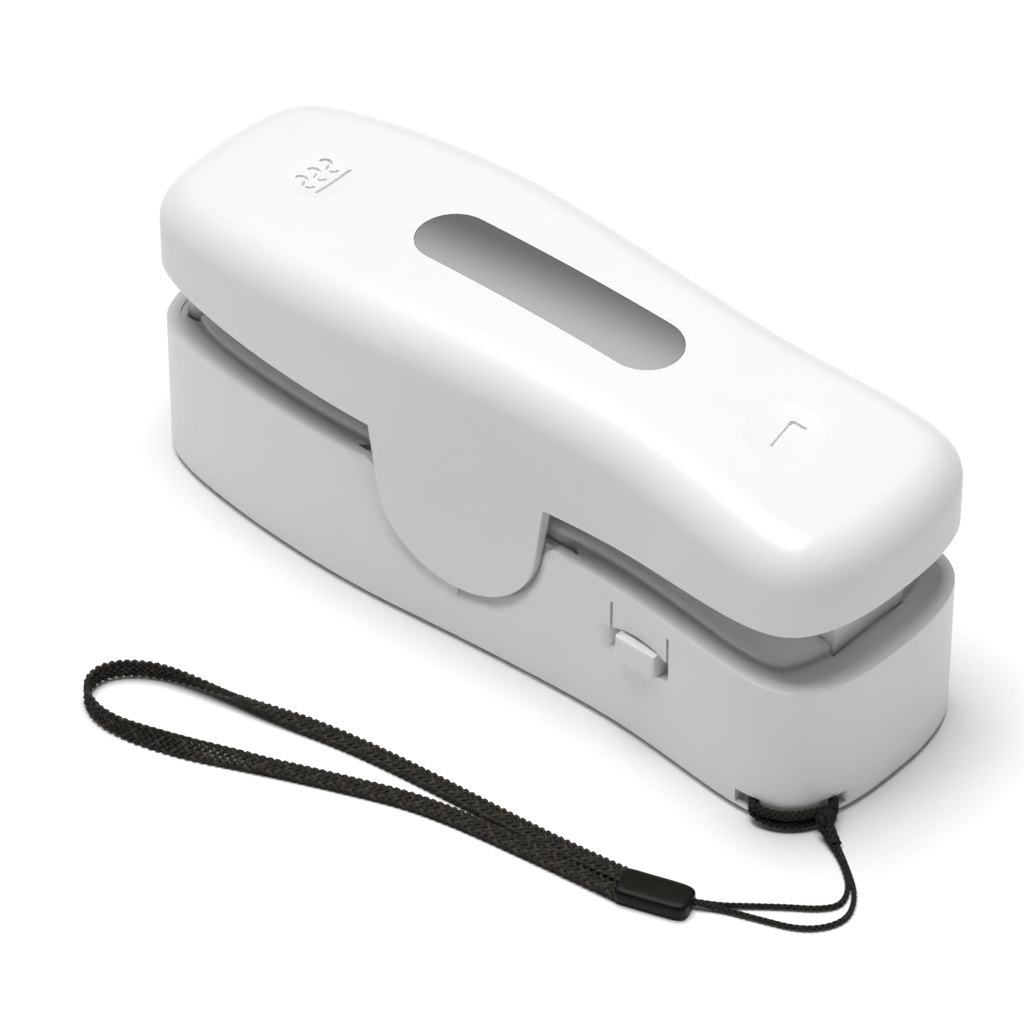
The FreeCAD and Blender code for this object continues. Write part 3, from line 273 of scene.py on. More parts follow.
NODE_MATERIALS = {
    "body_shell": "white_abs", "battery_door": "white_abs", "push_button": "white_abs",
    "label_plate": "grey_film_painted_reflection", "lever_liner": "textured_abs", "pad_holder": "textured_abs",
    "blade_holder": "textured_abs",
    "lever_screws": "zinc_plate", "deck_screws": "zinc_plate", "board_screws": "zinc_plate",
    "pivot_pin": "spring_steel", "cutter_blade": "spring_steel", "silicone_pad": "silicone",
    "heater_head": "heater_resin", "cutter_insert": "textured_abs", "heating_strip": "heating_alloy",
    "strip_cover": "glass_cloth", "battery_cell_left": "cell_jacket",
    "battery_cell_right": "cell_jacket", "contact_bridge": "nickel_plate",
    "contact_plus": "nickel_plate", "contact_minus": "nickel_plate", "micro_switch": "black_resin",
    "button_switch": "black_resin", "switch_plunger": "acetal", "circuit_board": "solder_mask",
    "board_parts": "black_resin", "supply_wire_left": "red_pvc", "supply_wire_right": "black_pvc",
    "return_spring_seal": "spring_steel", "return_spring_cutter": "spring_steel",
}
REMADE_NODES = ("lanyard_hitch", "lanyard_string_outer", "lanyard_string_inner", "lanyard_strap",
                "lanyard_ferrule", "lever_cover", "deck_plate")


# ---------------------------------------------------------------- meshes
WELD = 1e-6                         # metres: CAD corners nearer than this are one
WELD_MADE = 2e-6                    # and so are those of the shapes made here
FLAT_FACE = 1e-7                    # metres: edges shorter than this are closed up
NODE_SHARP = 28.0                   # degrees: edges of CAD pieces sharper than this stay sharp


def mesh_object(name, points, faces, materials, kinds=None):
    """A smooth-shaded object at the origin with this mesh, points in metres; kinds gives each face's
    place in materials."""
    mesh = bpy.data.meshes.new(name)
    mesh.from_pydata(points.tolist(), [], faces if isinstance(faces, list) else faces.tolist())
    mesh.update()
    for material in materials:
        mesh.materials.append(MATERIALS[material])
    if kinds:
        mesh.polygons.foreach_set("material_index", kinds)
    mesh.polygons.foreach_set("use_smooth", [True] * len(mesh.polygons))
    piece = bpy.data.objects.new(name, mesh)
    bpy.context.scene.collection.objects.link(piece)
    return piece


def soften(piece, angle_degrees):
    """Smooth shading that keeps the edges sharper than the angle, weighted by the faces' areas."""
    piece.data.set_sharp_from_angle(angle=math.radians(angle_degrees))
    weighted = piece.modifiers.new("weighted_normals", "WEIGHTED_NORMAL")
    weighted.keep_sharp = True


def joined_copy(node, name):
    """A copy of a CAD node's mesh with its triangles joined at their corners and smooth faces."""
    source = frame["nodes"][node]
    mesh = source.data.copy()
    mesh.name = name
    shape = bmesh.new()
    shape.from_mesh(mesh)
    bmesh.ops.remove_doubles(shape, verts=shape.verts, dist=WELD)
    bmesh.ops.dissolve_degenerate(shape, edges=shape.edges, dist=FLAT_FACE)
    shape.to_mesh(mesh)
    shape.free()
    mesh.polygons.foreach_set("use_smooth", [True] * len(mesh.polygons))
    mesh.materials.clear()
    mesh.materials.append(MATERIALS[NODE_MATERIALS[node]])
    piece = bpy.data.objects.new(name, mesh)
    bpy.context.scene.collection.objects.link(piece)
    soften(piece, NODE_SHARP)
    return piece


# ---------------------------------------------------------------- lanyard
STRING_OUTER = [
    (59.1, -13.8, 1.8), (61.3, -14.7, 0.9), (66.0, -17.7, 0.5), (69.4, -20.5, 0.5), (71.2, -24.7, 0.5),
    (68.4, -29.2, 0.5), (62.4, -31.6, 0.5), (58.2, -33.2, 0.6), (55.6, -34.9, 1.1), (53.2, -36.2, 1.2),
]
STRING_INNER = [
    (58.9, -14.8, 1.8), (60.9, -15.2, 0.8), (64.2, -16.8, 0.5), (67.6, -19.6, 0.5), (68.9, -22.7, 0.5),
    (67.2, -25.1, 0.5), (63.8, -27.6, 0.5), (60.3, -30.5, 0.5), (57.0, -33.4, 0.6), (53.4, -35.8, 1.2),
]
# The strap's route, and how far it is turned on its edge at each point: 0 flat, 1 or -1 upright, the
# sign being the way it turns.
STRAP = [
    (46.9, -37.35, 1.50), (36.0, -38.4, 0.80), (24.5, -39.3, 0.60), (13.6, -40.2, 0.60),
    (2.8, -41.6, 0.65), (-7.5, -44.1, 0.95), (-17.6, -46.5, 1.50), (-25.5, -49.3, 1.65),
    (-29.5, -53.9, 1.75), (-28.1, -58.6, 1.80), (-22.0, -60.5, 1.65), (-12.5, -57.2, 1.15),
    (-3.0, -52.4, 0.70), (7.5, -47.8, 0.60), (18.0, -43.6, 0.60), (33.0, -41.2, 0.60),
    (47.0, -39.5, 0.95),
]
STRAP_TURN = [0.0, 0.0, 0.0, 0.0, 0.0, 0.0, -0.5, -0.9, -1.0, -0.9, -0.4, 0.0, 0.0, 0.0, 0.0, 0.0, 0.0]
# A turn of string round the corner: x, y, and what share of the way it has risen from the height in the
# mouths to the height outside.
CORNER_CORD = [
    (49.6, -16.6, 0.0), (50.2, -18.4, 0.2), (52.7, -17.9, 1.0), (54.8, -16.75, 1.0), (56.4, -15.1, 1.0),
    (57.6, -12.9, 1.0), (58.5, -11.0, 0.4), (57.2, -10.6, 0.0),
]
MOUTH_CORD_HEIGHTS = (2.12, 3.06)
OUTER_CORD_HEIGHTS = (1.15, 2.55)
TURN_DIAMETER = 1.15                # each turn of string round the corner
TURN_PITCH = 3.4
TURN_STRANDS = 4                    # that wind each way
TAIL_DIAMETER = 1.5
KNOT = (58.5, -13.3, 2.1)
KNOT_TAIL = ((58.7, -13.5, 1.9), (60.2, -14.3, 1.1), (61.6, -15.1, 0.8))
KNOT_SIZE = (0.80, 1.05, 0.95)      # the helix, across, along and up
KNOT_WINDS = 3.4
KNOT_BARREL = (1.05, 0.75)          # the square of its girth at the middle, and how much less at its ends
KNOT_STRAND = 0.40
FERRULE_SIZE = (9.6, 5.0, 2.4)
FERRULE_MIDDLE = (50.9, -37.2, 1.25)
FERRULE_TURN = math.radians(19.0)
FERRULE_END_POWERS = (14.0, 5.0)    # the strap's end is nearly square, the strings' end rounder
FERRULE_SECTION_POWERS = (4.5, 3.5)
FERRULE_STEPS = 49
STRING_DIAMETER = 0.68
STRING_STRANDS = 3
STRING_PITCH = 2.4
STRAP_WIDTH = 2.8
STRAP_THICKNESS = 0.9
STRAP_YARNS = 7
STRAP_PITCH = 7.0
BROWN_YARNS = (1, 4)
YARN_HALF_WIDTH = 0.62              # of the strap's width shared out among its yarns
YARN_HALF_THICKNESS = 0.27          # of the strap's thickness
CORE_HALVES = (0.40, 0.125)         # half the core's width and thickness, of the strap's
STRAND_HALF_WIDTH = 0.20            # of the round plait's diameter
STRAND_FLATNESS = 0.8
STRAND_WEAVE = 0.16                 # how far a strand swings in and out, of its distance from the line
EDGE_OVERLAP = 0.8                  # of a yarn's half width that stays inside the plait's edge
YARN_SIDES, CORE_SIDES, STRING_SIDES = 6, 8, 5
ROUTE_SPANS = 24                    # between two control points, before the points are evened out
STRAP_STEPS = 620                   # rings along each line
STRING_STEPS = 330
TURN_STEPS = 150
TAIL_STEPS = 40
KNOT_STEPS = 220


def spline_line(points_mm, steps):
    """Points along the smooth curve whose control points these are, evenly spaced, in metres."""
    data = bpy.data.curves.new("route", "CURVE")
    data.dimensions = "3D"
    spline = data.splines.new("NURBS")
    spline.points.add(len(points_mm) - 1)
    for control, point in zip(spline.points, points_mm):
        control.co = (point[0] * MM, point[1] * MM, point[2] * MM, 1.0)
    spline.order_u = 3
    spline.use_endpoint_u = True
    spline.resolution_u = ROUTE_SPANS
    holder = bpy.data.objects.new("route", data)
    bpy.context.scene.collection.objects.link(holder)
    graph = bpy.context.evaluated_depsgraph_get()
    mesh = bpy.data.meshes.new_from_object(holder.evaluated_get(graph))
    line = np.array([v.co for v in mesh.vertices])
    bpy.data.objects.remove(holder)
    bpy.data.curves.remove(data)
    bpy.data.meshes.remove(mesh)
    return evenly(line, steps)


def run_along(line):
    """How far along the line each of its points is."""
    return np.concatenate([[0.0], np.cumsum(np.linalg.norm(np.diff(line, axis=0), axis=1))])


def evenly(line, steps):
    """The same line with this many evenly spaced points."""
    run = run_along(line)
    at = np.linspace(0.0, run[-1], steps)
    return np.stack([np.interp(at, run, line[:, k]) for k in range(3)], axis=1)


def line_length(line):
    return float(np.linalg.norm(np.diff(line, axis=0), axis=1).sum())


def level_frame(line, turn):
    """Across and over vectors along a line: across lies level where turn is 0, upright where it is 1."""
    way = np.gradient(line, axis=0)
    way = way / np.linalg.norm(way, axis=1, keepdims=True)
    level = np.cross(way, [0.0, 0.0, 1.0])
    level /= np.linalg.norm(level, axis=1, keepdims=True)
    over = np.cross(level, way)
    angle = (np.asarray(turn) * math.pi / 2)[:, None]
    across = level * np.cos(angle) + over * np.sin(angle)
    return across, np.cross(across, way)


def tube_mesh(line, across_size, over_size, across, over, sides):
    """Points and faces of a closed tube: an ellipse of these half sizes carried along the line."""
    rings = len(line)
    angle = np.arange(sides) * 2 * math.pi / sides
    ring = (np.cos(angle)[None, :, None] * across[:, None, :] * across_size
            + np.sin(angle)[None, :, None] * over[:, None, :] * over_size)
    points = (line[:, None, :] + ring).reshape(-1, 3)
    i, j = np.meshgrid(np.arange(rings - 1), np.arange(sides), indexing="ij")
    k = (j + 1) % sides
    faces = np.stack([i * sides + j, i * sides + k, (i + 1) * sides + k, (i + 1) * sides + j], axis=-1)
    faces = faces.reshape(-1, 4)
    centres = np.stack([line[0], line[-1]])
    start, end = len(points), len(points) + 1
    j = np.arange(sides)
    k = (j + 1) % sides
    low_cap = np.stack([np.full(sides, start), k, j], axis=-1)
    last = (rings - 1) * sides
    high_cap = np.stack([np.full(sides, end), last + j, last + k], axis=-1)
    return np.concatenate([points, centres]), faces, np.concatenate([low_cap, high_cap])


def strands_object(name, strands, sides, materials):
    """One object of many closed strands, each (line, half width, half thickness, material number)."""
    points, faces, kinds, offset = [], [], [], 0
    for line, wide, thick, kind in strands:
        across, over = level_frame(line, np.zeros(len(line)))
        new_points, quads, caps = tube_mesh(line, wide, thick, across, over, sides)
        points.append(new_points)
        for block in (quads, caps):
            faces += (block + offset).tolist()
            kinds += [kind] * len(block)
        offset += len(new_points)
    return mesh_object(name, np.concatenate(points), faces, materials, kinds)


def flat_braid(name, line, turn, width, thickness, yarns, pitch, brown):
    """Flat plait and the core inside it: each yarn swings from edge to edge as a sine, and weaves over
    and under the others as the sine of (yarns - 1) times the same angle, so that at each crossing one is
    up, one down."""
    across, over = level_frame(line, turn)
    run = np.linspace(0.0, line_length(line), len(line))
    yarn_half = width / yarns * YARN_HALF_WIDTH
    yarn_thick = thickness * YARN_HALF_THICKNESS
    reach = width / 2 - yarn_half * EDGE_OVERLAP
    lift = thickness / 2 - yarn_thick
    strands = []
    for i in range(yarns):
        angle = 2 * math.pi * (run / pitch + i / yarns)
        side = reach * np.sin(angle)
        height = lift * np.sin((yarns - 1) * angle)
        path = line + across * side[:, None] + over * height[:, None]
        strands.append((path, yarn_half, yarn_thick, 1 if i in brown else 0))
    braid = strands_object(name, strands, YARN_SIDES, ("black_yarn", "brown_yarn"))
    points, quads, caps = tube_mesh(line, width * CORE_HALVES[0], thickness * CORE_HALVES[1], across,
                                    over, CORE_SIDES)
    return braid, mesh_object("strap_core", points, quads.tolist() + caps.tolist(), ["black_pvc"])


def round_braid(line, diameter, each_way, pitch):
    """Strands of a round plait: they wind both ways round the line, each one's distance from it rising
    and falling once a crossing, so that it passes over one strand of the other hand and under the
    next. Gives (line, half width, half thickness, material number) for strands_object."""
    across, over = level_frame(line, np.zeros(len(line)))
    run = np.linspace(0.0, line_length(line), len(line))
    strand_half = diameter * STRAND_HALF_WIDTH
    reach = diameter / 2 - strand_half * EDGE_OVERLAP
    strands = []
    for hand in (1, -1):
        for i in range(each_way):
            turn = 2 * math.pi * run / pitch
            angle = hand * turn + 2 * math.pi * i / each_way
            radius = reach * (1.0 + STRAND_WEAVE * hand * np.cos(each_way * turn))
            path = (line + across * (radius * np.cos(angle))[:, None]
                    + over * (radius * np.sin(angle))[:, None])
            strands.append((path, strand_half, strand_half * STRAND_FLATNESS, 0))
    return strands


def make_lanyard():
    strap_line = spline_line(STRAP, STRAP_STEPS)
    turn = np.interp(np.linspace(0, 1, STRAP_STEPS), np.linspace(0, 1, len(STRAP_TURN)), STRAP_TURN)
    strap, core_piece = flat_braid(
        "braided_strap", strap_line, turn, STRAP_WIDTH * MM, STRAP_THICKNESS * MM, STRAP_YARNS,
        STRAP_PITCH * MM, BROWN_YARNS)
    ferrule = make_ferrule()
    hitch = make_hitch()
    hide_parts("lanyard_strap")
    for piece in (strap, core_piece, ferrule, hitch):
        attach(piece, "base")
    for name, node, route in (("string_outer", "lanyard_string_outer", STRING_OUTER),
                              ("string_inner", "lanyard_string_inner", STRING_INNER)):
        line = spline_line(route, STRING_STEPS)
        plait = round_braid(line, STRING_DIAMETER * MM, STRING_STRANDS, STRING_PITCH * MM)
        string = strands_object(name, plait, STRING_SIDES, ("black_yarn",))
        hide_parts(node)
        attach(string, "base")


def flattened(value, power):
    """A cosine or sine turned into a superellipse's."""
    return np.sign(value) * np.abs(value)**(2 / power)


def make_ferrule():
    """Sleeve: a rounded rectangle carried along the ferrule's axis. Its half width and half height fall
    off at each end as a superellipse of the way to the end, and each section is a superellipse too."""
    long_size, wide_size, high_size = FERRULE_SIZE
    along = np.sin(np.linspace(-math.pi / 2, math.pi / 2, FERRULE_STEPS))
    around = np.arange(FERRULE_STEPS - 1) * 2 * math.pi / (FERRULE_STEPS - 1)
    end_power = np.where(along < 0, *FERRULE_END_POWERS)
    fall = (1 - np.abs(along)**end_power)**(1 / end_power)
    y = wide_size / 2 * fall[:, None] * flattened(np.cos(around), FERRULE_SECTION_POWERS[0])
    z = high_size / 2 * np.sqrt(fall)[:, None] * flattened(np.sin(around), FERRULE_SECTION_POWERS[1])
    x = np.broadcast_to(long_size / 2 * along[:, None], y.shape)
    turned = np.stack([x * math.cos(FERRULE_TURN) - y * math.sin(FERRULE_TURN),
                       x * math.sin(FERRULE_TURN) + y * math.cos(FERRULE_TURN), z], axis=-1)
    turned = np.concatenate([turned, turned[:, :1]], axis=1) + FERRULE_MIDDLE
    faces = grid_faces(FERRULE_STEPS, FERRULE_STEPS)
    sleeve = mesh_object("ferrule_sleeve", turned.reshape(-1, 3) * MM, faces, ["ferrule_plastic"])
    close_up(sleeve)
    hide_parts("lanyard_ferrule")
    return sleeve


def make_hitch():
    """Two turns of braided string round the housing's corner, the knot that gathers them, wound as a
    barrel helix, and the short doubled tail under it."""
    strands = []
    for mouth_z, outer_z in zip(MOUTH_CORD_HEIGHTS, OUTER_CORD_HEIGHTS):
        route = [(x, y, mouth_z + spread * (outer_z - mouth_z)) for x, y, spread in CORNER_CORD]
        strands += round_braid(spline_line(route, TURN_STEPS), TURN_DIAMETER * MM, TURN_STRANDS,
                               TURN_PITCH * MM)
    strands += round_braid(spline_line(KNOT_TAIL, TAIL_STEPS), TAIL_DIAMETER * MM, TURN_STRANDS,
                           TURN_PITCH * MM)
    angle = np.linspace(0.0, KNOT_WINDS * 2 * math.pi, KNOT_STEPS)
    rise = np.linspace(-1.0, 1.0, KNOT_STEPS)
    reach = np.sqrt(KNOT_BARREL[0] - rise**2 * KNOT_BARREL[1])
    knot = np.stack([reach * np.cos(angle), rise, reach * np.sin(angle)], axis=1) * KNOT_SIZE
    strands.append(((knot + KNOT) * MM, KNOT_STRAND * MM, KNOT_STRAND * MM, 0))
    hitch = strands_object("corner_hitch", strands, YARN_SIDES, ("black_yarn",))
    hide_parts("lanyard_hitch")
    return hitch


# ---------------------------------------------------------------- outline
# The outer shape seen from above, from the seal end to the cutter end on the button's side: poles of a
# closed smooth curve, as shares of half the length and half the width.
OUTLINE_POLES = [
    (-1.0, 0.0), (-0.99, 0.40), (-0.954, 0.81), (-0.714, 0.946), (-0.471, 1.003), (-0.251, 0.997),
    (-0.058, 0.93), (0.236, 0.863), (0.469, 0.837), (0.72, 0.935), (0.944, 0.956), (1.0, 0.367),
    (0.998, 0.0),
]
OUTLINE_SAMPLES = 6000
MIDDLE_EVEN = 36.0                  # past this the middle line's points gather at half the pace


def middle_of(x):
    """Where on the middle line a row that starts at x ends, so that rows fan out at the ends."""
    reach = np.abs(x)
    return np.sign(x) * (np.minimum(reach, MIDDLE_EVEN) + 0.5 * np.maximum(reach - MIDDLE_EVEN, 0.0))


def outline(samples):
    """One side of the outer shape, in mm: a uniform periodic cubic B-spline on the poles and their
    mirror image, stretched to the full length and width. Points run from the seal end to the cutter
    end with y at or under 0; outward normals are the tangents turned a quarter clockwise."""
    side = [(x, -y) for x, y in OUTLINE_POLES]
    poles = np.array(side + [(x, -y) for x, y in reversed(side[1:-1])])
    at = np.linspace(0.0, len(poles), samples * 2, endpoint=False)
    span, t = np.floor(at).astype(int), (at % 1.0)[:, None]
    p0, p1, p2, p3 = (poles[(span + k) % len(poles)] for k in (-1, 0, 1, 2))
    place = ((1 - t)**3 * p0 + (3 * t**3 - 6 * t**2 + 4) * p1
             + (-3 * t**3 + 3 * t**2 + 3 * t + 1) * p2 + t**3 * p3) / 6
    low, high = place.min(axis=0), place.max(axis=0)
    place = (place - [(low[0] + high[0]) / 2, 0.0]) / (high - low) * [2 * HALF_LENGTH, 2 * HALF_WIDTH]
    way = np.roll(place, -1, axis=0) - np.roll(place, 1, axis=0)
    way /= np.linalg.norm(way, axis=1, keepdims=True)
    start = np.argmin(np.abs(place[:, 1]) + (place[:, 0] > 0) * HALF_LENGTH)
    place, way = np.roll(place, -start, axis=0), np.roll(way, -start, axis=0)
    last = np.argmin(np.abs(place[:, 1]) + (place[:, 0] < 0) * HALF_LENGTH) + 1
    place, way = place[:last], way[:last]
    place[[0, -1], 1] = 0.0
    way[0], way[-1] = (0.0, -1.0), (0.0, 1.0)
    return place, np.stack([way[:, 1], -way[:, 0]], axis=1)


# ---------------------------------------------------------------- lever cover
LEVER_TOP = 48.4
CROWN_RADIUS = 380.7                # of the lever's top, seen from the side
COVER_WALL = 1.8
COVER_EDGE = 6.4
COVER_INNER_EDGE = 2.8
LOBE_ROOT = 14.0
LOBE_LOW = 9.6
LOBE_LEAN = math.radians(8.3)
LOBE_ROUND = 12.59
SKIRT_LOW = 29.8
SKIRT_BEND = (37.4, 30.77)          # where the skirt's two slopes meet, eased over this length
SKIRT_END = (60.8, 32.5)
SKIRT_EASE = 13.0
COLUMN_STEP = 0.75
OUTER_ROWS = (18, 15, 16)           # of points up the wall, round the edge and over the crown
INNER_ROWS = (14, 7, 10)
LOWER_BEVEL = 0.25
BEVEL_ANGLE = 50.0
COVER_SHARP = 30.0
ICON_X = 39.0
DISH_RADIUS = 5.2
DISH_DEPTH = 0.35
HEAT_BAR = (-ICON_X + 1.8, -3.45, 3.25)     # its x and its two ends
WAVE_PLACES = (-2.3, 0.0, 2.3)
WAVE_BOW = 0.85
WAVE_GAP = 1.3                      # from the bar
BLADE_HEEL = (ICON_X - 0.6, 2.3)
BLADE_EDGE = (1.1, -5.4)
BLADE_BACK = (2.2, 0.1)
GROOVE_WIDTH = 0.5
GROOVE_DEPTH = 0.45
POCKET_STEPS = 200                  # along a pocket's path, to measure it by
POCKET_END_STEPS, POCKET_SIDE_STEPS = 14, 60
LEAST_SQUARE = 1e-8                 # square mm, so that a pocket's ends have some width
DISH_SPREAD = 1.35                  # how far past its rim a dish's cutter goes on
DISH_RINGS, DISH_SIDES = 22, 96
BOW_STEPS = 24
LABEL_LENGTH, LABEL_WIDTH, LABEL_DEPTH = 42.6, 10.3, 0.8


def crown_z(x, top=LEVER_TOP, radius=CROWN_RADIUS):
    """Height of the circular arch over x."""
    return top - CROWN_RADIUS + np.sqrt(radius**2 - np.asarray(x)**2)


def lower_edge_z(x):
    """Height of the cover's lower edge over x: two nearly straight slopes eased into each other from
    the ends to the lobe's root, then down the lobe's leaning side and round its foot."""
    reach = np.abs(x)
    first = (SKIRT_BEND[1] - SKIRT_LOW) / (SKIRT_BEND[0] - LOBE_ROOT)
    second = (SKIRT_END[1] - SKIRT_BEND[1]) / (SKIRT_END[0] - SKIRT_BEND[0])
    into = np.clip(reach - SKIRT_BEND[0] + SKIRT_EASE / 2, 0.0, SKIRT_EASE)
    past = np.maximum(reach - SKIRT_BEND[0] - SKIRT_EASE / 2, 0.0)
    skirt = (SKIRT_LOW + first * (reach - LOBE_ROOT)
             + (second - first) * (into**2 / (2 * SKIRT_EASE) + past))
    foot = LOBE_ROOT - (SKIRT_LOW - LOBE_LOW) * math.tan(LOBE_LEAN)
    run = LOBE_ROUND * math.tan((math.pi / 2 - LOBE_LEAN) / 2)
    flat = foot - run
    meets = foot + run * math.sin(LOBE_LEAN)
    rounded = LOBE_LOW + LOBE_ROUND - np.sqrt(
        np.maximum(LOBE_ROUND**2 - np.maximum(reach - flat, 0.0)**2, 0.0))
    side = LOBE_LOW + (reach - foot) / math.tan(LOBE_LEAN)
    return np.where(reach >= LOBE_ROOT, skirt, np.where(reach > meets, side, rounded))


def cover_columns():
    """Outline points and normals, evenly spaced along the cover's lower edge, with one at each root."""
    place, out = outline(OUTLINE_SAMPLES)
    edge = np.column_stack([place, lower_edge_z(place[:, 0])])
    run = run_along(edge)
    at = np.linspace(0.0, run[-1], int(run[-1] / COLUMN_STEP))
    for root in (-LOBE_ROOT, LOBE_ROOT):
        here = np.interp(root, place[:, 0], run)
        at[np.argmin(np.abs(at - here))] = here
    pick = [np.interp(at, run, values) for values in (*place.T, *out.T)]
    return np.column_stack(pick[:2]), np.column_stack(pick[2:])


def skin(place, out, inset, top, edge, wall_rows, edge_rows, crown_rows):
    """Rows of points from the lower edge to the middle line: straight up the wall, round a ball-nosed
    edge whose ball touches wall and crown, then along the crown to the middle line y = 0. The ball's
    centre is one radius in from both, and its normal turns evenly from the wall's to the crown's."""
    low = lower_edge_z(place[:, 0])
    foot = place - out * inset
    centre = foot - out * edge
    centre_z = crown_z(centre[:, 0], top, CROWN_RADIUS - edge)
    lean = centre[:, 0] / (CROWN_RADIUS - edge)
    up = np.column_stack([lean, np.zeros_like(lean), np.sqrt(1 - lean**2)])
    sideways = np.column_stack([out, np.zeros_like(lean)])
    share = np.linspace(0.0, 1.0, wall_rows)[:, None]
    wall = np.stack([np.broadcast_to(foot[:, 0], (wall_rows, len(low))),
                     np.broadcast_to(foot[:, 1], (wall_rows, len(low))),
                     low + (centre_z - low) * share], axis=-1)
    whole = np.arccos(np.clip((sideways * up).sum(axis=1), -1.0, 1.0))
    turn = np.linspace(0.0, 1.0, edge_rows)[1:, None] * whole
    normal = (np.sin(whole - turn)[..., None] * sideways + np.sin(turn)[..., None] * up)
    normal /= np.sin(whole)[:, None]
    ball = np.column_stack([centre, centre_z]) + edge * normal
    middle = middle_of(centre[:, 0])
    share = np.linspace(0.0, 1.0, crown_rows)[1:, None]
    crown_x = ball[-1, :, 0] + (middle - ball[-1, :, 0]) * share
    crown_y = ball[-1, :, 1] * (1 - share)
    crown = np.stack([crown_x, crown_y, crown_z(crown_x, top)], axis=-1)
    return np.concatenate([wall, ball, crown])


def grid_faces(rows, columns):
    """Quads of a grid of points numbered row by row, open at its ends."""
    i, j = np.meshgrid(np.arange(rows - 1), np.arange(columns - 1), indexing="ij")
    corner = i * columns + j
    return np.stack([corner, corner + 1, corner + columns + 1, corner + columns], axis=-1).reshape(-1, 4)


def cover_shell():
    """The cover without its recesses: outer skin, lower edge and inner skin as one closed sheet."""
    place, out = cover_columns()
    outer = skin(place, out, 0.0, LEVER_TOP, COVER_EDGE, *OUTER_ROWS)
    inner = skin(place, out, COVER_WALL, LEVER_TOP - COVER_WALL, COVER_INNER_EDGE, *INNER_ROWS)
    section = np.concatenate([outer[::-1], inner])
    faces = grid_faces(*section.shape[:2])
    near = section.reshape(-1, 3)
    far = near * [1.0, -1.0, 1.0]
    points = np.concatenate([near, far]) * MM
    shell = mesh_object("lever_shell", points, np.concatenate([faces, faces[:, ::-1] + len(near)]),
                        ["white_abs"])
    close_up(shell)
    return shell


def close_up(piece):
    """Points on top of each other made one, flat faces removed and every face turned outwards."""
    shape = bmesh.new()
    shape.from_mesh(piece.data)
    bmesh.ops.remove_doubles(shape, verts=shape.verts, dist=WELD_MADE)
    bmesh.ops.dissolve_degenerate(shape, edges=shape.edges, dist=FLAT_FACE)
    bmesh.ops.recalc_face_normals(shape, faces=shape.faces)
    shape.to_mesh(piece.data)
    shape.free()


def pocket(name, path, half_width, depth):
    """Cutter that sinks a round-ended band into the crown: at each step along the path (mm, seen from
    above) its half width is that of a circle near the ends and constant between; its floor runs at one
    depth under the crown."""
    line = evenly(np.column_stack([path, np.zeros(len(path))]), POCKET_STEPS)[:, :2]
    run = np.linspace(0.0, line_length(np.column_stack([line, np.zeros(len(line))])), len(line))
    bow = half_width * (1 - np.cos(np.linspace(0.0, math.pi / 2, POCKET_END_STEPS)))
    side_run = np.linspace(half_width, run[-1] - half_width, POCKET_SIDE_STEPS)
    at = np.concatenate([bow, side_run[1:-1], run[-1] - bow[::-1]])
    spot = np.column_stack([np.interp(at, run, line[:, 0]), np.interp(at, run, line[:, 1])])
    way = np.gradient(spot, at, axis=0)
    way /= np.linalg.norm(way, axis=1, keepdims=True)
    left = np.column_stack([-way[:, 1], way[:, 0]])
    end = np.minimum(np.minimum(at, run[-1] - at), half_width)
    wide = np.sqrt(np.maximum(half_width**2 - (half_width - end)**2, LEAST_SQUARE))[:, None]
    ring = []
    for side, level in ((-1, -depth), (1, -depth), (1, 1.0), (-1, 1.0)):
        edge = spot + left * wide * side
        ring.append(np.column_stack([edge, crown_z(edge[:, 0]) + level]))
    points = np.stack(ring, axis=1).reshape(-1, 3)
    quads = grid_faces(len(at), 4)
    i = np.arange(len(at) - 1)[:, None] * 4
    closing = i + np.array([[3, 0, 4, 7]])
    last = len(points) - 4
    caps = np.array([[3, 2, 1, 0], [last, last + 1, last + 2, last + 3]])
    cutter = mesh_object(name, points * MM, np.concatenate([quads, closing, caps]), ["white_abs"])
    close_up(cutter)
    return cutter


def dish(name, x):
    """Cutter for a finger dish: the cap of a ball that dips DISH_DEPTH under the crown over x, closed
    by a flat disc above it. Rings of points at even angles from the ball's lowest point."""
    ball = (DISH_RADIUS**2 + DISH_DEPTH**2) / (2 * DISH_DEPTH)
    slope = math.asin(x / CROWN_RADIUS)
    axis = np.array([math.sin(slope), 0.0, math.cos(slope)])
    along = np.array([math.cos(slope), 0.0, -math.sin(slope)])
    across = np.array([0.0, 1.0, 0.0])
    centre = np.array([x, 0.0, float(crown_z(x))]) + axis * (ball - DISH_DEPTH)
    angle = np.linspace(0.0, DISH_SPREAD * math.asin(DISH_RADIUS / ball), DISH_RINGS)[:, None]
    round_ = (np.arange(DISH_SIDES) * 2 * math.pi / DISH_SIDES)[None, :]
    outwards = np.cos(round_)[..., None] * along + np.sin(round_)[..., None] * across
    spread = np.sin(angle)[..., None] * outwards
    rings = centre + ball * (spread - np.cos(angle)[..., None] * axis)
    rings = np.concatenate([rings, rings[:, :1]], axis=1)
    lid = np.concatenate([rings[-1:], np.broadcast_to(rings[-1].mean(axis=0), rings[-1:].shape)])
    points = np.concatenate([rings, lid[1:]]).reshape(-1, 3)
    cutter = mesh_object(name, points * MM, grid_faces(len(rings) + 1, DISH_SIDES + 1), ["white_abs"])
    close_up(cutter)
    return cutter


def half_ring(x, y, radius, side):
    """Points along half of a circle on one side of y."""
    angle = np.linspace(0.0, math.pi, BOW_STEPS)
    return np.column_stack([x + radius * np.cos(angle), y + side * radius * np.sin(angle)])


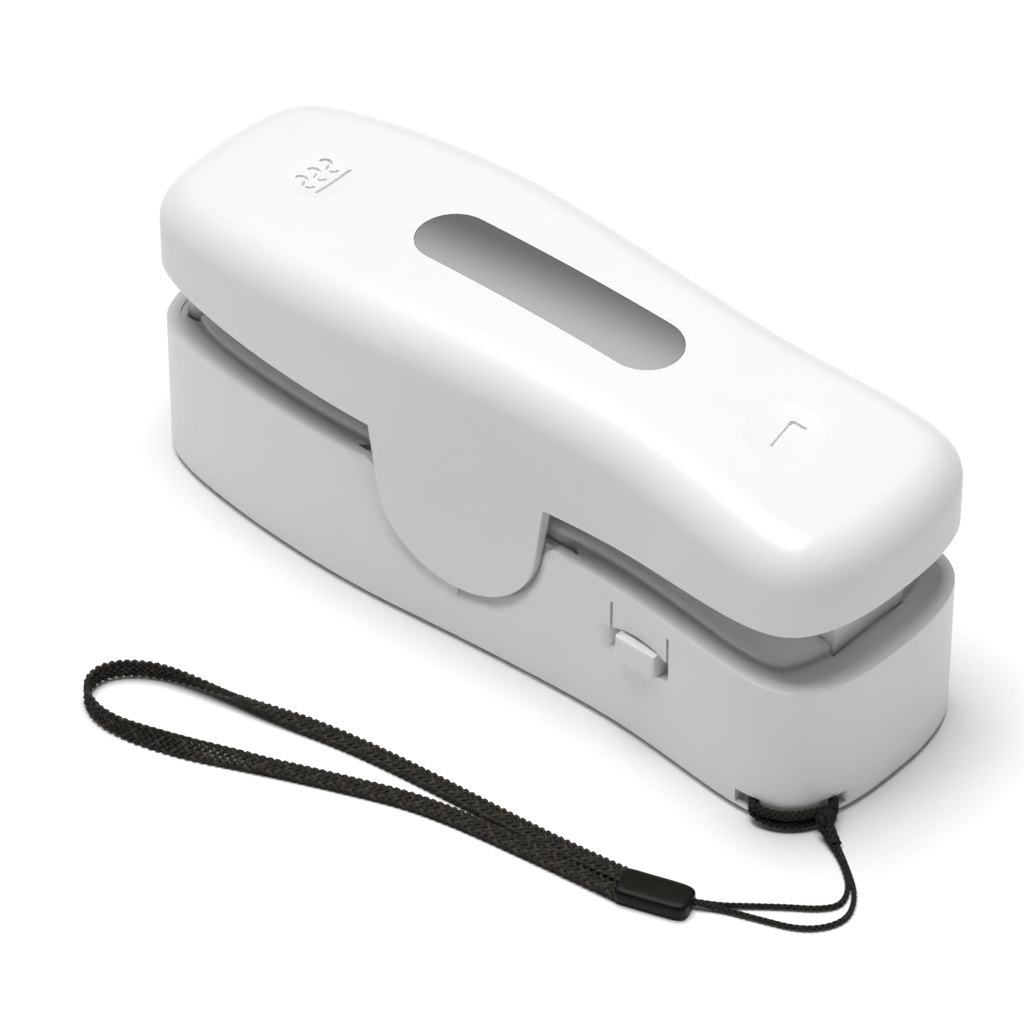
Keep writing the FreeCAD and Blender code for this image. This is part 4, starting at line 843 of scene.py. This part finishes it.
def icon_pockets():
    """Heat icon, a bar with three two-bow waves, and blade icon, a long edge with a short back."""
    depth = DISH_DEPTH + GROOVE_DEPTH
    bar, low, high = HEAT_BAR
    paths = [np.array([(bar, low), (bar, high)])]
    for y in WAVE_PLACES:
        middle = bar - WAVE_GAP - WAVE_BOW
        near = half_ring(middle, y, WAVE_BOW, -1)
        far = half_ring(middle - 2 * WAVE_BOW, y, WAVE_BOW, 1)
        paths.append(np.concatenate([near, far[1:]]))
    heel = np.array(BLADE_HEEL)
    paths += [np.array([heel, heel + BLADE_EDGE]), np.array([heel, heel + BLADE_BACK])]
    return [pocket(f"groove_{i}", path, GROOVE_WIDTH / 2, depth) for i, path in enumerate(paths)]


def settle(piece):
    """The piece's modifiers worked into its mesh."""
    graph = bpy.context.evaluated_depsgraph_get()
    finished = bpy.data.meshes.new_from_object(piece.evaluated_get(graph))
    finished.name = piece.name
    piece.modifiers.clear()
    piece.data = finished


def carve(piece, cutters):
    for cutter in cutters:
        cut = piece.modifiers.new(cutter.name, "BOOLEAN")
        cut.operation = "DIFFERENCE"
        cut.object = cutter
        cut.solver = "EXACT"
    settle(piece)
    for cutter in cutters:
        bpy.data.objects.remove(cutter)


def make_lever_cover():
    cover = cover_shell()
    cover.name = "lever_cover_moulding"
    bevel = cover.modifiers.new("edge", "BEVEL")
    bevel.width = LOWER_BEVEL * MM
    bevel.segments = 2
    bevel.limit_method = "ANGLE"
    bevel.angle_limit = math.radians(BEVEL_ANGLE)
    settle(cover)
    reach = LABEL_LENGTH / 2
    label_seat = pocket("label_seat", np.array([(-reach, 0.0), (reach, 0.0)]), LABEL_WIDTH / 2, LABEL_DEPTH)
    carve(cover, [label_seat, dish("heat_dish", -ICON_X), dish("blade_dish", ICON_X)] + icon_pockets())
    cover.data.polygons.foreach_set("use_smooth", [True] * len(cover.data.polygons))
    soften(cover, COVER_SHARP)
    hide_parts("lever_cover")
    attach(cover, "lever")


# ---------------------------------------------------------------- deck
RIM_DROP = 1.2                      # how much ledge and deck fall from the pivot to the ends
DECK_TOP = 25.0                     # over the pivot
LEDGE_Z = 23.15
LEDGE_EDGE = 0.15
DECK_PLATE = 1.8
DECK_OUTSIDE = 2.05                 # the flange's edge, in from the outer shape
ISLAND_INSET = 3.5
ISLAND_END_INSET = 5.5
CHEEK_INSET = 3.32                  # past the bearing cheeks beside the lobes
CHEEK_REACH = 17.9
FOOT_ROUND = 0.7
ISLAND_ROUND = 0.9
LEDGE_EDGE_SHARE = 0.05             # of the way from the outer shape's outline to the island's
FOOT_STEPS, ISLAND_EDGE_STEPS = 6, 8
HEATER_WINDOW = (-50.0, 7.2, 23.2)  # x, and the size along X and along Y
INSERT_WINDOW = (50.0, 7.2, 13.8)
PLUNGER_HOLE = (-22.0, 1.6)         # x and radius
ROD_SIDES = 32
SCREW_HOLE = 1.0
DECK_SCREWS = [(-40.0, 11.0), (-40.0, -11.0), (43.2, 9.0), (43.2, -9.0)]
ISLAND_WALL = 1.5
DECK_COLUMNS = 260
DECK_ROWS = 8                       # from the island's edge to the middle line
DECK_SHARP = 40.0
CUTTER_LOW, CUTTER_HIGH = 15.0, 35.0


def rim_fall(x):
    """How far the rim's arch has fallen at x, a parabola through nought at the pivot."""
    return RIM_DROP * (np.asarray(x) / HALF_LENGTH)**2


def deck_rows(place, out, profile):
    """Rows of points across the deck: each step of the profile gives how far in the row lies from the
    outer shape, what share of it follows the island's shorter outline, and its height over the pivot."""
    rows = []
    shorten = (HALF_LENGTH - ISLAND_END_INSET) / (HALF_LENGTH - ISLAND_INSET)
    for inset, share, height in profile:
        beside = np.abs(place[:, 0]) < CHEEK_REACH
        deep = np.where(beside, max(inset, CHEEK_INSET), inset)[:, None]
        row = place - out * deep
        row[:, 0] *= 1 - share * (1 - shorten)
        rows.append(np.column_stack([row, height - rim_fall(row[:, 0])]))
    edge = rows[-1]
    middle = middle_of(edge[:, 0])
    for share in np.linspace(0.0, 1.0, DECK_ROWS + 1)[1:]:
        x = edge[:, 0] + (middle - edge[:, 0]) * share
        rows.append(np.column_stack([x, edge[:, 1] * (1 - share), profile[-1][2] - rim_fall(x)]))
    return rows


def quarter(inset, height, radius, steps, concave):
    """Profile steps round a quarter circle: in a foot they go from level to upright, on an edge from
    upright to level."""
    angle = np.linspace(0.0, math.pi / 2, steps)
    if concave:
        return [(inset - radius + radius * math.sin(a), 1.0, height + radius - radius * math.cos(a))
                for a in angle]
    return [(inset + radius - radius * math.cos(a), 1.0, height - radius + radius * math.sin(a))
            for a in angle]


def make_deck():
    place, out = outline(OUTLINE_SAMPLES)
    run = run_along(place)
    at = np.linspace(0.0, run[-1], DECK_COLUMNS)
    place = np.column_stack([np.interp(at, run, place[:, k]) for k in (0, 1)])
    out = np.column_stack([np.interp(at, run, out[:, k]) for k in (0, 1)])
    foot = ISLAND_INSET
    top = ([(DECK_OUTSIDE, 0.0, LEDGE_Z - DECK_PLATE), (DECK_OUTSIDE, 0.0, LEDGE_Z - LEDGE_EDGE),
            (DECK_OUTSIDE + LEDGE_EDGE, LEDGE_EDGE_SHARE, LEDGE_Z)]
           + quarter(foot, LEDGE_Z, FOOT_ROUND, FOOT_STEPS, True)
           + quarter(foot, DECK_TOP, ISLAND_ROUND, ISLAND_EDGE_STEPS, False))
    under = [(DECK_OUTSIDE, 0.0, LEDGE_Z - DECK_PLATE),
             (foot + ISLAND_WALL, 1.0, LEDGE_Z - DECK_PLATE),
             (foot + ISLAND_WALL, 1.0, DECK_TOP - DECK_PLATE)]
    section = np.stack(deck_rows(place, out, top)[::-1] + deck_rows(place, out, under)[1:])
    faces = grid_faces(*section.shape[:2])
    near = section.reshape(-1, 3)
    points = np.concatenate([near, near * [1.0, -1.0, 1.0]]) * MM
    deck = mesh_object("deck_moulding", points, np.concatenate([faces, faces[:, ::-1] + len(near)]),
                       ["white_abs"])
    close_up(deck)
    cutters = [box_cutter("window", *window) for window in (HEATER_WINDOW, INSERT_WINDOW)]
    cutters += [rod_cutter("hole", x, y, radius) for x, y, radius in
                [(PLUNGER_HOLE[0], 0.0, PLUNGER_HOLE[1])] + [(x, y, SCREW_HOLE) for x, y in DECK_SCREWS]]
    carve(deck, cutters)
    soften(deck, DECK_SHARP)
    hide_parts("deck_plate")
    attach(deck, "base")


def box_cutter(name, x, size_x, size_y):
    """Upright block through the deck, centred on y = 0."""
    corner = np.array([(sx, sy, sz) for sz in (0, 1) for sy in (-1, 1) for sx in (-1, 1)], dtype=float)
    points = corner * [size_x / 2, size_y / 2, CUTTER_HIGH - CUTTER_LOW] + [x, 0.0, CUTTER_LOW]
    faces = np.array([(0, 2, 3, 1), (4, 5, 7, 6), (0, 1, 5, 4), (2, 6, 7, 3), (0, 4, 6, 2), (1, 3, 7, 5)])
    return mesh_object(name, points * MM, faces, ["white_abs"])


def rod_cutter(name, x, y, radius):
    """Upright round bar through the deck."""
    angle = np.arange(ROD_SIDES + 1) * 2 * math.pi / ROD_SIDES
    rings = [np.column_stack([x + r * np.cos(angle), y + r * np.sin(angle), np.full(ROD_SIDES + 1, z)])
             for r, z in ((0.0, CUTTER_LOW), (radius, CUTTER_LOW), (radius, CUTTER_HIGH),
                          (0.0, CUTTER_HIGH))]
    bar = mesh_object(name, np.concatenate(rings) * MM, grid_faces(4, ROD_SIDES + 1), ["white_abs"])
    close_up(bar)
    return bar


def squeeze_spring(spring):
    """The spring's place worked into its points; it is attached to no body, so it follows neither deck nor
    lever.
    """
    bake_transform(spring)


# ---------------------------------------------------------------- floor
FLOOR_REACH = 3.0                   # metres each way
FLOOR_GAP = 0.02


def make_floor():
    """Wide, pale and matt, a hair under the housing."""
    points = np.array([(-1, -1, 0), (1, -1, 0), (1, 1, 0), (-1, 1, 0)]) * FLOOR_REACH
    mesh = bpy.data.meshes.new("floor")
    mesh.from_pydata((points - [0, 0, FLOOR_GAP * MM]).tolist(), [], [(0, 1, 2, 3)])
    material, tree, shader = new_material("pale_floor", 0.9, 1.4)
    mottle(tree, shader, 0.01, "#f8f8f8", "#fafafa", (0.88, 0.92))
    mesh.materials.append(material)
    floor = bpy.data.objects.new("floor", mesh)
    bpy.context.scene.collection.objects.link(floor)


# ---------------------------------------------------------------- the making
make_camera()
make_light()
make_floor()
make_lanyard()
make_lever_cover()
make_deck()

for body, members in frame["record"]["behaviour"]["bodies"].items():
    for node in members:
        if node in REMADE_NODES:
            continue
        piece = joined_copy(node, node + "_finished")
        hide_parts(node)
        if node.startswith("return_spring"):
            squeeze_spring(piece)
        else:
            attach(piece, body)
